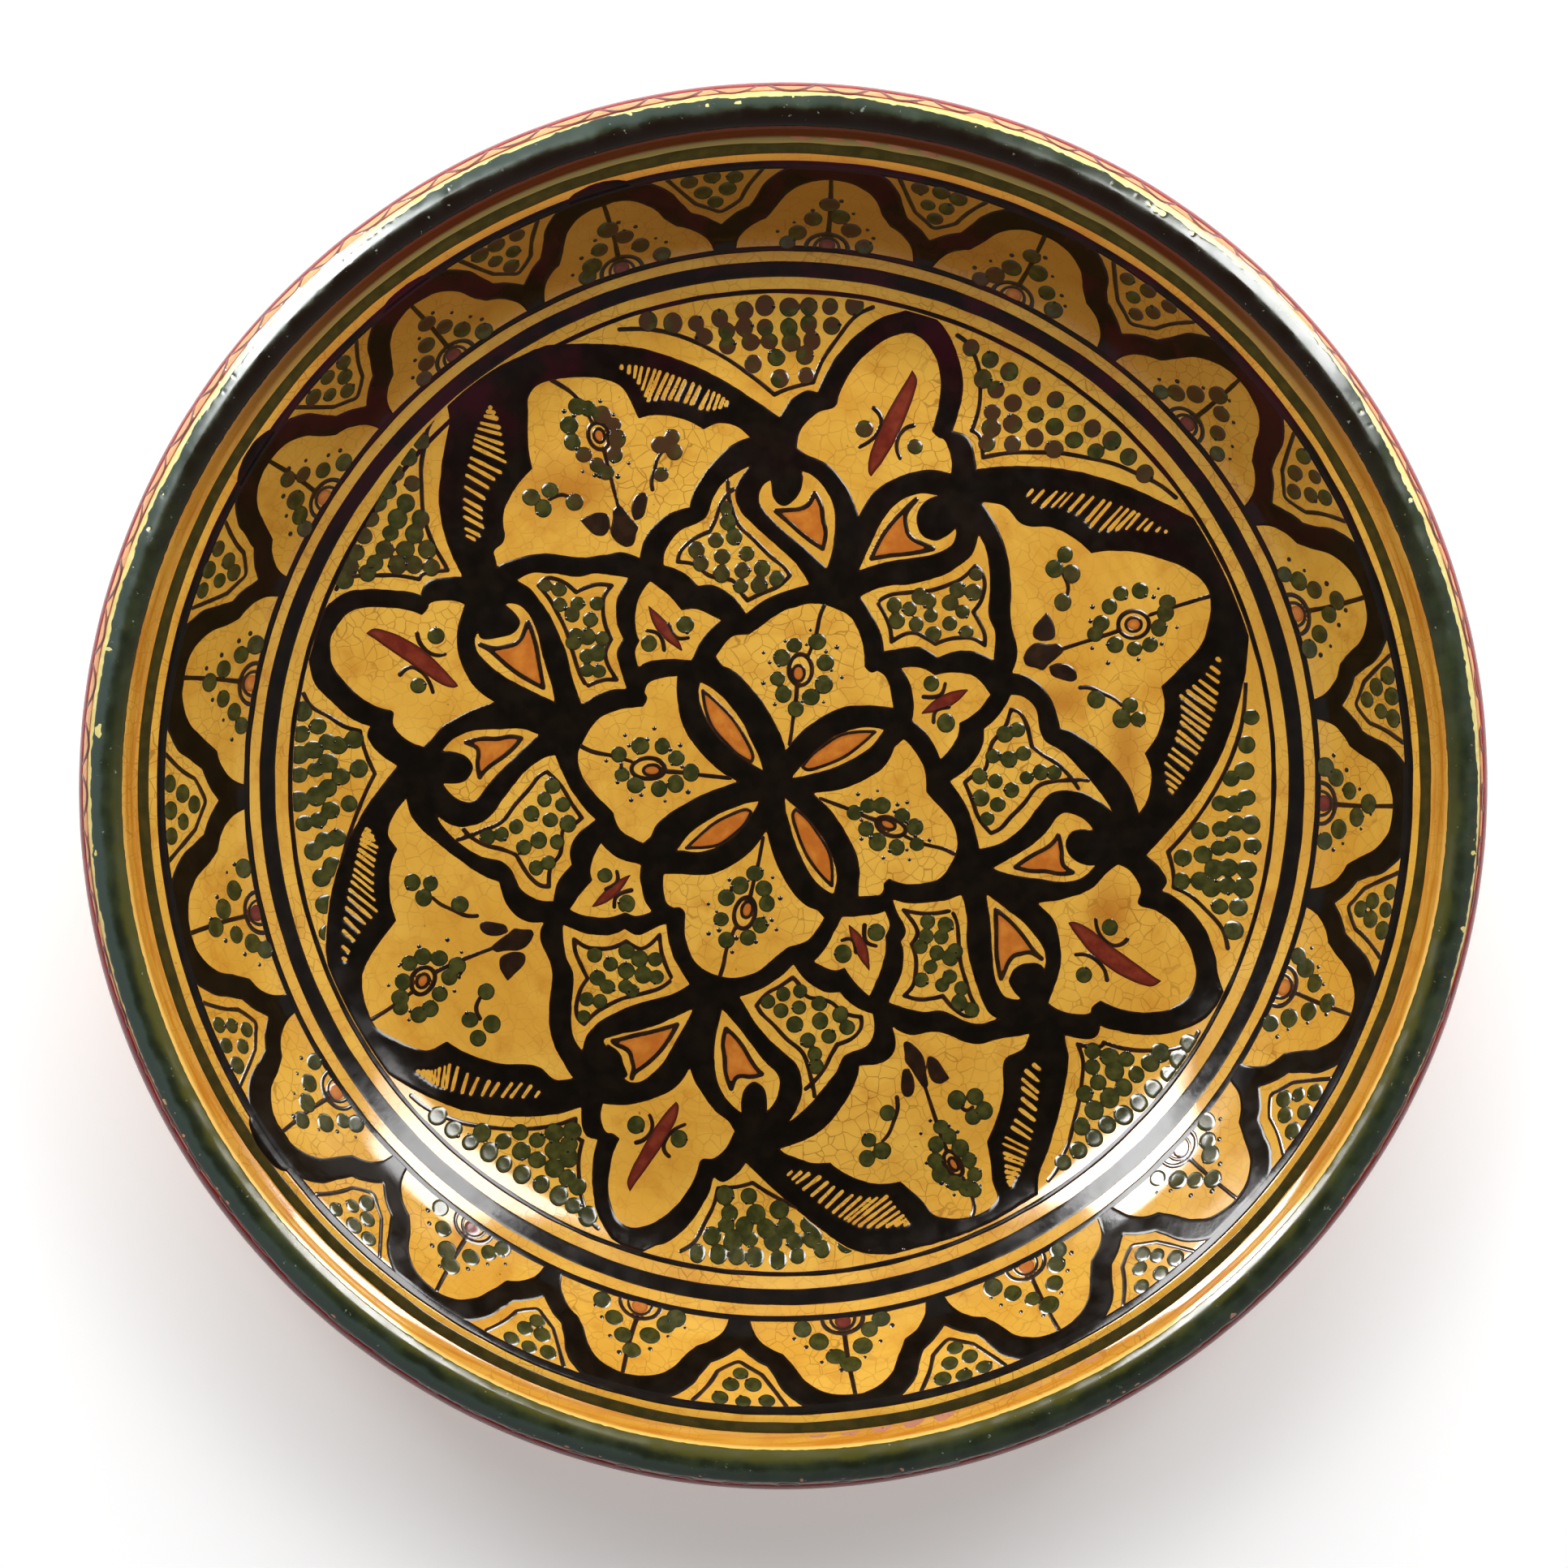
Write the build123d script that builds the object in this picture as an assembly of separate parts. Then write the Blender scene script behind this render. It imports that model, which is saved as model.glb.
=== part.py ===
"""A deep hand-thrown ceramic plate with a rolled collar, luted foot ring, fired glaze coats and painted rings.

Row frame: +Z up, origin on the axis at the underside of the foot ring. Millimetres.
Each node is a turned solid: its half-section is drawn as (radius, height) and revolved about Z.
"""
from build123d import *
import os
from math import cos, radians, sin

# ---- Driving dimensions -------------------------------------------------------------------
foot_height = 8.0           # from the table to the underside of the bowl
floor_thickness = 9.0
flat_floor_radius = 106.0   # where the level floor starts to curve up into the wall
floor_blend_radius = 45.0
wall_slope = 52.0           # degrees above level
wall_length = 19.5          # straight part of the inner wall, along its slope
glaze = 0.5                 # thickness of a glaze coat
relief = 0.15               # how far a painted ring stands proud of the glaze

# Lip: the wall rolls over a ledge, dips into a groove and swells into the collar.
ledge_radius, ledge_slope, ledge_length = 6.0, 12.0, 2.3
groove_radius, groove_exit = 3.2, 66.0
crest_radius, crest_exit = 6.4, -58.0
cheek_radius, cheek_exit = 15.0, -104.0     # the outer face of the collar
chin_radius, chin_exit = 4.5, -160.0        # the collar's lower edge
neck_radius = 11.0

# Foot ring, tapering downwards.
foot_outer_top, foot_outer_base = 91.0, 88.5
foot_inner_top, foot_inner_base = 77.0, 79.5
foot_edge_round = 1.2

# Where one glaze colour gives way to the next.
green_inner_radius = 163.6
green_outer_radius = 171.6
red_top_height = 50.4
red_inner_radius = 169.0    # on the underside of the collar

# Painted rings on the inner surface: name -> (inner radius, outer radius).
painted_rings = {
    "well_line_fine": (125.6, 126.8),
    "well_band_broad": (129.6, 133.3),
    "wall_line_lower": (135.6, 136.9),
    "wall_line_upper": (153.6, 155.5),
    "lip_line_olive": (156.7, 159.3),
}

# Worked out from the driving dimensions.
floor_top = foot_height + floor_thickness
outer_blend_radius = floor_blend_radius + floor_thickness
past_axis = -20.0           # outlines run on past the axis, and are cut there
reach = 200.0               # beyond every part of the plate


# ---- Half-section -------------------------------------------------------------------------
def heading_vector(degrees):
    return Vector(cos(radians(degrees)), sin(radians(degrees)))


def walk(start, heading, moves, outset=0.0):
    """A smooth path of ("line", length) and ("arc", radius, new heading) moves, shifted to its left by outset."""
    at = start + heading_vector(heading + 90) * outset
    edges = []
    for kind, size, *turned in moves:
        along = heading_vector(heading)
        if kind == "line":
            edges.append(Line(at, at + along * size))
        else:
            turn = turned[0] - heading
            radius = size - outset if turn > 0 else size + outset
            edges.append(JernArc(start=at, tangent=along, radius=radius, arc_size=turn))
            heading = turned[0]
        at = edges[-1] @ 1
    return edges


def inner_moves():
    """From past the axis, along the floor, up the wall and over the collar to its lower edge."""
    return [
        ("line", flat_floor_radius - past_axis),
        ("arc", floor_blend_radius, wall_slope),
        ("line", wall_length),
        ("arc", ledge_radius, ledge_slope),
        ("line", ledge_length),
        ("arc", groove_radius, groove_exit),
        ("arc", crest_radius, crest_exit),
        ("arc", cheek_radius, cheek_exit),
        ("arc", chin_radius, chin_exit),
    ]


def outer_wall_foot():
    """Where the outer wall, parallel to the inner one, starts to turn in under the floor."""
    slope = radians(wall_slope)
    return Vector(
        flat_floor_radius + outer_blend_radius * sin(slope),
        floor_top + floor_blend_radius - outer_blend_radius * cos(slope),
    )


def underside_length():
    """Straight run under the collar that brings the neck arc onto the line of the outer wall."""
    start = Vector(past_axis, floor_top)
    trial = walk(start, 0.0, inner_moves() + [("arc", neck_radius, wall_slope - 180.0)])
    gap = outer_wall_foot() - trial[-1] @ 1
    down_wall, inwards = heading_vector(wall_slope - 180.0), heading_vector(chin_exit)
    return gap.cross(down_wall).Z / inwards.cross(down_wall).Z


def bowl_face(outset=0.0):
    """The bowl's section without its foot, outset from the glazed surface and cut at the axis."""
    down_wall = wall_slope - 180.0
    neck = [("line", underside_length()), ("arc", neck_radius, down_wall)]
    upper = walk(Vector(past_axis, floor_top), 0.0, inner_moves() + neck, outset)
    underneath = [("arc", outer_blend_radius, -180.0), ("line", flat_floor_radius - past_axis)]
    lower = walk(outer_wall_foot(), down_wall, underneath, outset)
    outer_wall = Line(upper[-1] @ 1, lower[0] @ 0)
    at_axis = Line(lower[-1] @ 1, upper[0] @ 0)
    outline = make_face(Wire(upper + [outer_wall] + lower + [at_axis]))
    return outline & block(0, -reach, reach, reach)


def block(r0, z0, r1, z1):
    """A rectangle in the half-section, from corner to corner."""
    return Pos((r0 + r1) / 2, (z0 + z1) / 2) * Rectangle(abs(r1 - r0), abs(z1 - z0))


def outline(*corners):
    return make_face(Polyline(*corners, close=True))


def inner_side():
    """Everything on the food side of a line through the middle of the clay."""
    mid_floor = foot_height + floor_thickness / 2
    mid_wall, mid_collar = (140, 25), (170, 48)
    return outline(
        (0, mid_floor), (flat_floor_radius, mid_floor), mid_wall, mid_collar,
        (mid_collar[0], reach), (0, reach))


def glaze_zones():
    """Regions of the half-section that hold each glaze coat, cut where the colours change."""
    return {
        "interior_glaze": inner_side() & block(0, 0, green_inner_radius, reach),
        "rim_glaze_green": block(green_inner_radius, red_top_height, green_outer_radius, reach),
        "collar_glaze_yellow": block(green_outer_radius, red_top_height, reach, reach),
        "collar_glaze_red": block(red_inner_radius, 0, reach, red_top_height),
        "outer_wall_glaze": block(foot_outer_top, 0, red_inner_radius, reach) - inner_side(),
        "foot_recess_glaze": block(0, 0, foot_inner_top, reach) - inner_side(),
    }


def foot_ring():
    """Section of the foot ring, with both bottom edges rounded."""
    ring = outline(
        (foot_inner_base, 0), (foot_outer_base, 0), (foot_outer_top, foot_height),
        (foot_inner_top, foot_height))
    return fillet(ring.vertices().sort_by(Axis.Y)[:2], foot_edge_round)


def save(name, section):
    """Revolves a half-section about the plate's axis and writes it as one node."""
    solid = revolve(Plane.XZ * section, Axis.Z)
    solid.label = name
    export_step(solid, f"parts/{name}.step")
    box = solid.bounding_box()
    print(f"{name}: r {box.max.X:.2f}, z {box.min.Z:.2f} to {box.max.Z:.2f}, volume {solid.volume:.0f}")


# ---- Build --------------------------------------------------------------------------------
os.makedirs("parts", exist_ok=True)
glazed = bowl_face()
skin = glazed - bowl_face(-glaze)
coats = {name: skin & zone for name, zone in glaze_zones().items()}
clay = glazed
for coat in coats.values():
    clay = clay - coat

save("clay_body", clay)
save("foot_ring", foot_ring())
for name, coat in coats.items():
    save(name, coat)

raised = (bowl_face(relief) - glazed) & inner_side()
for name, (inner, outer) in painted_rings.items():
    save(name, raised & block(inner, 0, outer, reach))
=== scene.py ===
"""A deep hand-painted plate: turned glaze, painted decoration in low relief, and a fired clay body.

Drawing is done in millimetres on flat canvases that are laid over the turned surface. Blender gets metres.
"""
from math import cos, pi, radians, sin

import bpy
import numpy as np
from mathutils import Matrix, Vector


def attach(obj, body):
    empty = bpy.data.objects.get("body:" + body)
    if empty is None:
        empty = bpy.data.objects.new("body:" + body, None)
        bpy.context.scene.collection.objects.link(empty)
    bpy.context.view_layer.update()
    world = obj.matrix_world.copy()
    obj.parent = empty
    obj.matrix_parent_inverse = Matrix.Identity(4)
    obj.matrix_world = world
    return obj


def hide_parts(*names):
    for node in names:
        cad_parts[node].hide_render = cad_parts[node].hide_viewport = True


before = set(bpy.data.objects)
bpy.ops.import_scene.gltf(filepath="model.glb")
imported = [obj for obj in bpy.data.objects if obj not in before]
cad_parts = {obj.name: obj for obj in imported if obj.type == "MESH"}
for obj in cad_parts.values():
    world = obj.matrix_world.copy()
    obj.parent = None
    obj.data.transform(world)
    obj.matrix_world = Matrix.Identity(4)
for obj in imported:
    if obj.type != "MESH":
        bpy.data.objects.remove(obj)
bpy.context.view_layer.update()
METRE = 0.001

# ---- The turned section -------------------------------------------------------------------
flat_radius, floor_height, wall_thickness = 106.0, 17.0, 9.0
floor_blend, wall_slope, neck_radius, chin_exit = 45.0, 52.0, 11.0, -160.0
inner_moves = [
    ("line", flat_radius), ("arc", floor_blend, wall_slope), ("line", 19.5),    # floor and wall
    ("arc", 6.0, 12.0), ("line", 2.3), ("arc", 3.2, 66.0),                      # ledge and groove
    ("arc", 6.4, -58.0), ("arc", 15.0, -104.0), ("arc", 4.5, chin_exit)]        # crest, cheek and chin


def heading_vector(degrees):
    return np.array([cos(radians(degrees)), sin(radians(degrees))])


def walk(start, heading, moves, spacing=0.5):
    """Points and headings (degrees) along a smooth path of lines and arcs, at most spacing apart."""
    points, headings = [np.array(start, float)], [heading]
    for kind, size, *turned in moves:
        turn = turned[0] - heading if turned else 0.0
        length = size * radians(abs(turn)) if turned else size
        steps = max(2, int(np.ceil(length / spacing)))
        part = radians(abs(turn)) / steps
        chord = 2 * size * sin(part / 2) if turned else size / steps
        for i in range(steps):
            points.append(points[-1] + chord * heading_vector(heading + turn * (i + 0.5) / steps))
            headings.append(heading + turn * (i + 1) / steps)
        heading += turn
    return np.array(points), np.array(headings, float)


def all_moves():
    """The whole outer skin: in over the floor, up and over the collar, and back under to the axis."""
    down_wall = wall_slope - 180.0
    outer_blend = floor_blend + wall_thickness
    slope = radians(wall_slope)
    wall_foot = np.array([
        flat_radius + outer_blend * sin(slope), floor_height + floor_blend - outer_blend * cos(slope)])
    neck = ("arc", neck_radius, down_wall)
    trial = walk((0, floor_height), 0.0, inner_moves + [neck])[0][-1]
    down, inwards, gap = heading_vector(down_wall), heading_vector(chin_exit), wall_foot - trial
    under = (gap[0] * down[1] - gap[1] * down[0]) / (inwards[0] * down[1] - inwards[1] * down[0])
    wall = np.hypot(*(wall_foot - trial - under * inwards))
    return inner_moves + [
        ("line", under), neck, ("line", wall), ("arc", outer_blend, -180.0), ("line", flat_radius)]


class Section:
    """A path in (radius, height), read by distance along it."""

    def __init__(self, points, headings):
        self.points, self.headings = points, headings
        self.along = np.concatenate([[0], np.cumsum(np.hypot(*np.diff(points, axis=0).T))])

    def at(self, along):
        """Radius, height and outward normal (radial, vertical) at a distance along the path."""
        r = np.interp(along, self.along, self.points[:, 0])
        z = np.interp(along, self.along, self.points[:, 1])
        slope = np.radians(np.interp(along, self.along, self.headings))
        return r, z, -np.sin(slope), np.cos(slope)

    def inside_radius(self, radius):
        """Distance along the path where it first reaches a radius on the way out."""
        way_out = slice(0, int(np.argmax(self.points[:, 0])))
        return np.interp(radius, self.points[way_out, 0], self.along[way_out])

    def outside(self, radius=None, height=None):
        """Distance along the path where, outside, it comes down to a height or back in to a radius."""
        way_back = slice(int(np.argmax(self.points[:, 1] if radius is None else self.points[:, 0])), None)
        wanted, column = (height, 1) if radius is None else (radius, 0)
        return np.interp(-wanted, -self.points[way_back, column], self.along[way_back])


skin = Section(*walk((0, floor_height), 0.0, all_moves()))


# ---- Smooth random fields -----------------------------------------------------------------
def noise(x, y, size, seed, around=None):
    """Smooth random numbers from -1 to 1, about size apart. Where around is given, x repeats after it."""
    table = np.random.default_rng(seed).uniform(-1, 1, (256, 256))
    if around:
        size_x = around / max(1, round(around / size))
        wrap = min(256, round(around / size_x))
    else:
        size_x, wrap = size, 256
    gx, gy = np.asarray(x) / size_x, np.asarray(y) / size
    ix, iy = np.floor(gx).astype(int), np.floor(gy).astype(int)
    fx, fy = gx - ix, gy - iy
    fx, fy = fx * fx * (3 - 2 * fx), fy * fy * (3 - 2 * fy)
    x0, x1 = ix % wrap, (ix + 1) % wrap
    y0, y1 = iy % 256, (iy + 1) % 256
    low = table[x0, y0] * (1 - fx) + table[x1, y0] * fx
    high = table[x0, y1] * (1 - fx) + table[x1, y1] * fx
    return low * (1 - fy) + high * fy


def unevenness(x, y):
    """How far the hand-thrown surface lies under the true one, never above it."""
    return -0.16 + 0.10 * noise(x, y, 34.0, 3) + 0.035 * noise(x, y, 12.0, 4)


# ---- Canvases -----------------------------------------------------------------------------
BAND = 3.0      # distances are only worked out this near to an edge


class Canvas:
    """A grid over part of a surface. It holds signed distances to the paint's edge, negative inside."""

    def __init__(self, x0, x1, y0, y1, step, place, wraps=False):
        columns = round((x1 - x0) / step)
        self.step = (x1 - x0) / columns if wraps else step
        self.xs = x0 + self.step * np.arange(columns if wraps else columns + 1)
        self.ys = np.arange(y0, y1 + step / 2, step)
        self.step_y = step
        self.place = place
        self.wraps = wraps

    def blank(self):
        return np.full((len(self.ys), len(self.xs)), BAND)

    def patch(self, low, high):
        """Rows, columns and their coordinates for the grid points between two corners, with a margin."""
        i0, i1 = (int(np.floor((v - self.xs[0]) / self.step)) for v in (low[0] - BAND, high[0] + BAND))
        j0, j1 = (int(np.floor((v - self.ys[0]) / self.step_y)) for v in (low[1] - BAND, high[1] + BAND))
        j = np.arange(max(j0, 0), min(j1 + 2, len(self.ys)))
        i = np.arange(i0, i1 + 2) if self.wraps else np.arange(max(i0, 0), min(i1 + 2, len(self.xs)))
        return j, i, self.xs[0] + i * self.step, self.ys[0] + j * self.step_y

    def add(self, field, rows, columns, values):
        where = np.ix_(rows, columns % len(self.xs))
        field[where] = np.minimum(field[where], values)

    def stroke(self, field, points, width, end_width=None):
        """A brush line through points. The width may run to another width at the end."""
        points = np.asarray(points, float)
        end_width = width if end_width is None else end_width
        halves = np.linspace(width, end_width, len(points)) / 2
        for a, b, wa, wb in zip(points[:-1], points[1:], halves[:-1], halves[1:]):
            rows, columns, xs, ys = self.patch(np.minimum(a, b), np.maximum(a, b))
            if len(rows) and len(columns):
                self.add(field, rows, columns, to_segment(xs, ys, a, b, wa, wb))

    def dot(self, field, centre, radius, tall=1.0):
        """A round dab of paint, tall times as high as it is wide."""
        centre = np.asarray(centre, float)
        rows, columns, xs, ys = self.patch(centre - radius * tall, centre + radius * tall)
        if len(rows) and len(columns):
            far = np.hypot(xs[None] - centre[0], (ys[:, None] - centre[1]) / tall) - radius
            self.add(field, rows, columns, np.clip(far, -BAND, BAND))

    def fill(self, field, outline):
        """A closed outline, filled."""
        outline = np.asarray(outline, float)
        rows, columns, xs, ys = self.patch(outline.min(0), outline.max(0))
        near = np.full((len(ys), len(xs)), BAND)
        flips = np.zeros((len(ys), len(xs) + 1), int)
        for a, b in zip(outline, np.roll(outline, -1, axis=0)):
            i = slice(*np.searchsorted(xs, [min(a[0], b[0]) - BAND, max(a[0], b[0]) + BAND]))
            j = slice(*np.searchsorted(ys, [min(a[1], b[1]) - BAND, max(a[1], b[1]) + BAND]))
            near[j, i] = np.minimum(near[j, i], to_segment(xs[i], ys[j], a, b, 0, 0))
            low, high = (a, b) if a[1] < b[1] else (b, a)
            crossed = np.arange(*np.searchsorted(ys, [low[1], high[1]]))
            if len(crossed):
                share = (ys[crossed] - low[1]) / (high[1] - low[1])
                np.add.at(flips, (crossed, np.searchsorted(xs, low[0] + share * (high[0] - low[0]))), 1)
        within = np.cumsum(flips, axis=1)[:, :-1] % 2 == 1
        self.add(field, rows, columns, np.where(within, -near, near))

    def grid(self):
        return np.meshgrid(self.xs, self.ys)


def to_segment(xs, ys, a, b, half_a, half_b):
    """Distance of each grid point to the segment a to b, less the brush's half width there."""
    ab = b - a
    px, py = xs[None] - a[0], ys[:, None] - a[1]
    t = np.clip((px * ab[0] + py * ab[1]) / max(ab @ ab, 1e-12), 0, 1)
    far = np.hypot(px - t * ab[0], py - t * ab[1]) - (half_a + t * (half_b - half_a))
    return np.clip(far, -BAND, BAND)


# Marching squares: corners 0-3 counter-clockwise from lower left, 4-7 the points on the sides after them.
cell_faces = {
    1: [(0, 4, 7)], 2: [(1, 5, 4)], 3: [(0, 1, 5, 7)], 4: [(2, 6, 5)], 5: [(0, 4, 7), (2, 6, 5)],
    6: [(1, 2, 6, 4)], 7: [(0, 1, 2, 6, 7)], 8: [(3, 7, 6)], 9: [(0, 4, 6, 3)],
    10: [(1, 5, 4), (3, 7, 6)],
    11: [(0, 1, 5, 6, 3)], 12: [(2, 3, 7, 5)], 13: [(0, 4, 5, 2, 3)], 14: [(1, 2, 3, 7, 4)],
    15: [(0, 1, 2, 3)]}


def contour(canvas, field, keep=None):
    """Faces (arrays of vertex numbers) and flat vertices (x, y, distance to the edge) of a painted area."""
    rows, columns = field.shape
    least = 0.02 * canvas.step      # an edge passes no nearer than this to a grid point
    field = np.where(np.abs(field) < least, np.where(field < 0, -least, least), field)
    i, j = np.meshgrid(np.arange(columns if canvas.wraps else columns - 1), np.arange(rows - 1))
    i, j = i.ravel(), j.ravel()
    if keep is not None:
        chosen = keep[j, i]
        i, j = i[chosen], j[chosen]
    right = (i + 1) % columns
    corners = [j * columns + i, j * columns + right, (j + 1) * columns + right, (j + 1) * columns + i]
    count = rows * columns
    sides = [count + corners[0], 2 * count + corners[1], count + corners[3], 2 * count + corners[0]]
    names = np.stack(corners + sides, axis=1)
    inside_paint = field.ravel() < 0
    case = sum(inside_paint[corners[c]].astype(int) << c for c in range(4))
    faces = []
    for number, polygons in cell_faces.items():
        these = names[case == number]
        faces += [these[:, list(polygon)] for polygon in polygons if len(these)]
    used, renamed = np.unique(np.concatenate([f.ravel() for f in faces]), return_inverse=True)
    numbered, start = [], 0
    for f in faces:
        numbered.append(renamed[start:start + f.size].reshape(f.shape))
        start += f.size
    return numbered, flat_points(canvas, field, used)


def flat_points(canvas, field, numbers):
    """The vertices of these numbers: grid points first, then edges to their right, then edges above."""
    rows, columns = field.shape
    count = rows * columns
    kind, node = numbers // count, numbers % count
    ni, nj = node % columns, node // columns
    across = nj * columns + (ni + 1) % columns
    above = np.minimum(nj + 1, rows - 1) * columns + ni
    here = field.ravel()[node]
    there = np.where(kind == 1, field.ravel()[across], field.ravel()[above])
    share = np.where(kind == 0, 0.0, here / np.where(kind == 0, 1.0, here - there))
    x = canvas.xs[ni] + np.where(kind == 1, share, 0) * canvas.step
    y = canvas.ys[nj] + np.where(kind == 2, share, 0) * canvas.step_y
    depth = np.where(kind == 0, -here, 0.0)
    return np.stack([x, y, depth], axis=1)


SHARP = 50.0    # degrees: faces that meet at more than this are shaded with a sharp edge
SUNK = 0.06     # millimetres: how far a layer of paint reaches into the glaze under it


def make_mesh(name, points, face_groups, attributes=None):
    """A mesh piece from points in millimetres and arrays of faces with the same number of corners."""
    mesh = bpy.data.meshes.new(name)
    loops = np.concatenate([f.ravel() for f in face_groups]).astype(np.int32)
    totals = np.concatenate([np.full(len(f), f.shape[1]) for f in face_groups]).astype(np.int32)
    mesh.vertices.add(len(points))
    mesh.vertices.foreach_set("co", (points * METRE).astype(np.float32).ravel())
    mesh.loops.add(len(loops))
    mesh.loops.foreach_set("vertex_index", loops)
    mesh.polygons.add(len(totals))
    mesh.polygons.foreach_set("loop_start", np.concatenate([[0], np.cumsum(totals)[:-1]]).astype(np.int32))
    mesh.polygons.foreach_set("loop_total", totals)
    mesh.update(calc_edges=True)
    mesh.polygons.foreach_set("use_smooth", np.ones(len(totals), bool))
    mesh.set_sharp_from_angle(angle=radians(SHARP))
    for key, values in (attributes or {}).items():
        mesh.attributes.new(key, "FLOAT", "POINT").data.foreach_set("value", values.astype(np.float32))
    mesh.validate()
    piece = bpy.data.objects.new(name, mesh)
    bpy.context.scene.collection.objects.link(piece)
    return piece


def painted(name, canvas, field, height, material, slot, keep=None, rise=0.7):
    """A closed layer of paint in low relief where field is negative, rounded up from its edge."""
    faces, flat = contour(canvas, field, keep)
    x, y, depth = flat.T
    count = len(flat)
    swell = np.clip(depth / rise, 0, 1)
    top = canvas.place(x, y, height * swell * (2 - swell))
    bottom = canvas.place(x, y, np.full(count, -SUNK))
    pairs = np.concatenate([np.stack([f, np.roll(f, -1, axis=1)], axis=2).reshape(-1, 2) for f in faces])
    there, back = pairs[:, 0] * count + pairs[:, 1], pairs[:, 1] * count + pairs[:, 0]
    rim = pairs[~np.isin(back, there)]
    walls = np.stack([rim[:, 1], rim[:, 0], rim[:, 0] + count, rim[:, 1] + count], axis=1)
    groups = faces + [f[:, ::-1] + count for f in faces] + [walls]
    edge = np.concatenate([depth, depth])
    piece = make_mesh(name, np.concatenate([top, bottom]), groups, {"edge": edge})
    return finished(piece, material, slot)


def finished(piece, material, slot):
    piece.data.materials.append(material)
    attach(piece, "root")
    return piece


# ---- Curves -------------------------------------------------------------------------------
def curve(points, per=6):
    """A smooth open curve through points."""
    q = np.asarray(points, float)
    if len(q) < 3:
        t = np.linspace(0, 1, per + 1)[:, None]
        return q[0] * (1 - t) + q[-1] * t
    p = np.vstack([2 * q[0] - q[1], q, 2 * q[-1] - q[-2]])
    out = []
    for i in range(1, len(p) - 2):
        gaps = [max(np.hypot(*(b - a)), 1e-6) ** 0.5 for a, b in zip(p[i - 1:i + 2], p[i:i + 3])]
        p0, p1, p2, p3 = p[i - 1:i + 3]
        d1, d2, d3 = gaps
        m1 = ((p1 - p0) / d1 - (p2 - p0) / (d1 + d2) + (p2 - p1) / d2) * d2
        m2 = ((p2 - p1) / d2 - (p3 - p1) / (d2 + d3) + (p3 - p2) / d3) * d2
        if i == 1:
            m1 = 1.5 * (p2 - p1) - 0.5 * m2
        if i == len(p) - 3:
            m2 = 1.5 * (p2 - p1) - 0.5 * m1
        t = (np.arange(per) / per)[:, None]
        out.append((2 * t**3 - 3 * t**2 + 1) * p1 + (t**3 - 2 * t**2 + t) * m1
                   + (3 * t**2 - 2 * t**3) * p2 + (t**3 - t**2) * m2)
    return np.vstack(out + [q[-1:]])


def path(points, per=6, closed=False):
    """A curve through (x, y) points that is sharp where a point has a third value."""
    points = list(points)
    if closed:
        first = next((i for i, p in enumerate(points) if len(p) > 2), 0)
        points = points[first:] + points[:first] + [points[first]]
    runs, run = [], [points[0][:2]]
    for p in points[1:]:
        run.append(p[:2])
        if len(p) > 2:
            runs.append(run)
            run = [p[:2]]
    if len(run) > 1:
        runs.append(run)
    pieces = [curve(r, per)[:-1] for r in runs]
    return np.vstack(pieces if closed else pieces + [np.array([points[-1][:2]], float)])


def ellipse(centre, half_x, half_y, start=0.0, end=360.0):
    """An arc of an ellipse in 28 steps, from one angle in degrees to another."""
    a = np.radians(np.linspace(start, end, 29))
    return np.stack([centre[0] + half_x * np.cos(a), centre[1] + half_y * np.sin(a)], axis=1)


def thin_plate(source, target, stiffness):
    """A smooth map of the plane that takes each source point near to its target point."""
    def kernel(a, b):
        square = ((a[:, None] - b[None]) ** 2).sum(-1)
        return square * np.log(square + 1e-9)
    n = len(source)
    flat = np.hstack([np.ones((n, 1)), source])
    system = np.block([[kernel(source, source) + stiffness * np.eye(n), flat], [flat.T, np.zeros((3, 3))]])
    weights = np.linalg.solve(system, np.vstack([target, np.zeros((3, 2))]))

    def move(points):
        p = np.asarray(points, float).reshape(-1, 2)
        return kernel(p, source) @ weights[:n] + np.hstack([np.ones((len(p), 1)), p]) @ weights[n:]
    return move


# ---- The drawing in the well --------------------------------------------------------------
# It is drawn once, for the first quarter, in millimetres from the middle of the pattern. A third value of 1
# marks a sharp corner; between corners an outline is a smooth curve.
pattern_centre = (-2.0, 1.0)

lobe = [
    (2.4, 8.1, 1), (0.9, 13.1), (-3.4, 20.6), (-9.9, 28.1), (-13.7, 30.3, 1), (-15.5, 32.5, 1),
    (-14.3, 34.5), (-11.6, 37.4), (-7.0, 38.2, 1), (-5.2, 39.3), (2.3, 44.3), (9.4, 46.0), (15.1, 44.9),
    (19.4, 42.2), (22.1, 36.3), (22.7, 29.9, 1), (24.4, 28.4), (26.0, 28.8, 1), (28.0, 27.4),
    (29.8, 22.0),
    (30.1, 19.3, 1), (23.0, 20.0), (18.4, 19.7), (13.7, 18.1), (6.6, 13.3)]
almond = [
    (4.2, 1.4, 1), (8.7, 6.6), (15.1, 11.8), (22.6, 14.2), (27.8, 13.5, 1), (24.1, 9.1), (17.3, 4.9),
    (9.1, 2.2)]
teardrop_left = [
    (13.0, 55.0, 1), (6.9, 60.7), (-0.3, 66.9), (-4.4, 72.3), (-3.7, 75.9), (-1.4, 77.7, 1), (-0.6, 73.0),
    (2.0, 71.1), (5.6, 73.7), (6.9, 78.0), (6.5, 80.1, 1), (10.8, 77.6), (14.4, 71.6), (14.9, 63.4)]
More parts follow.
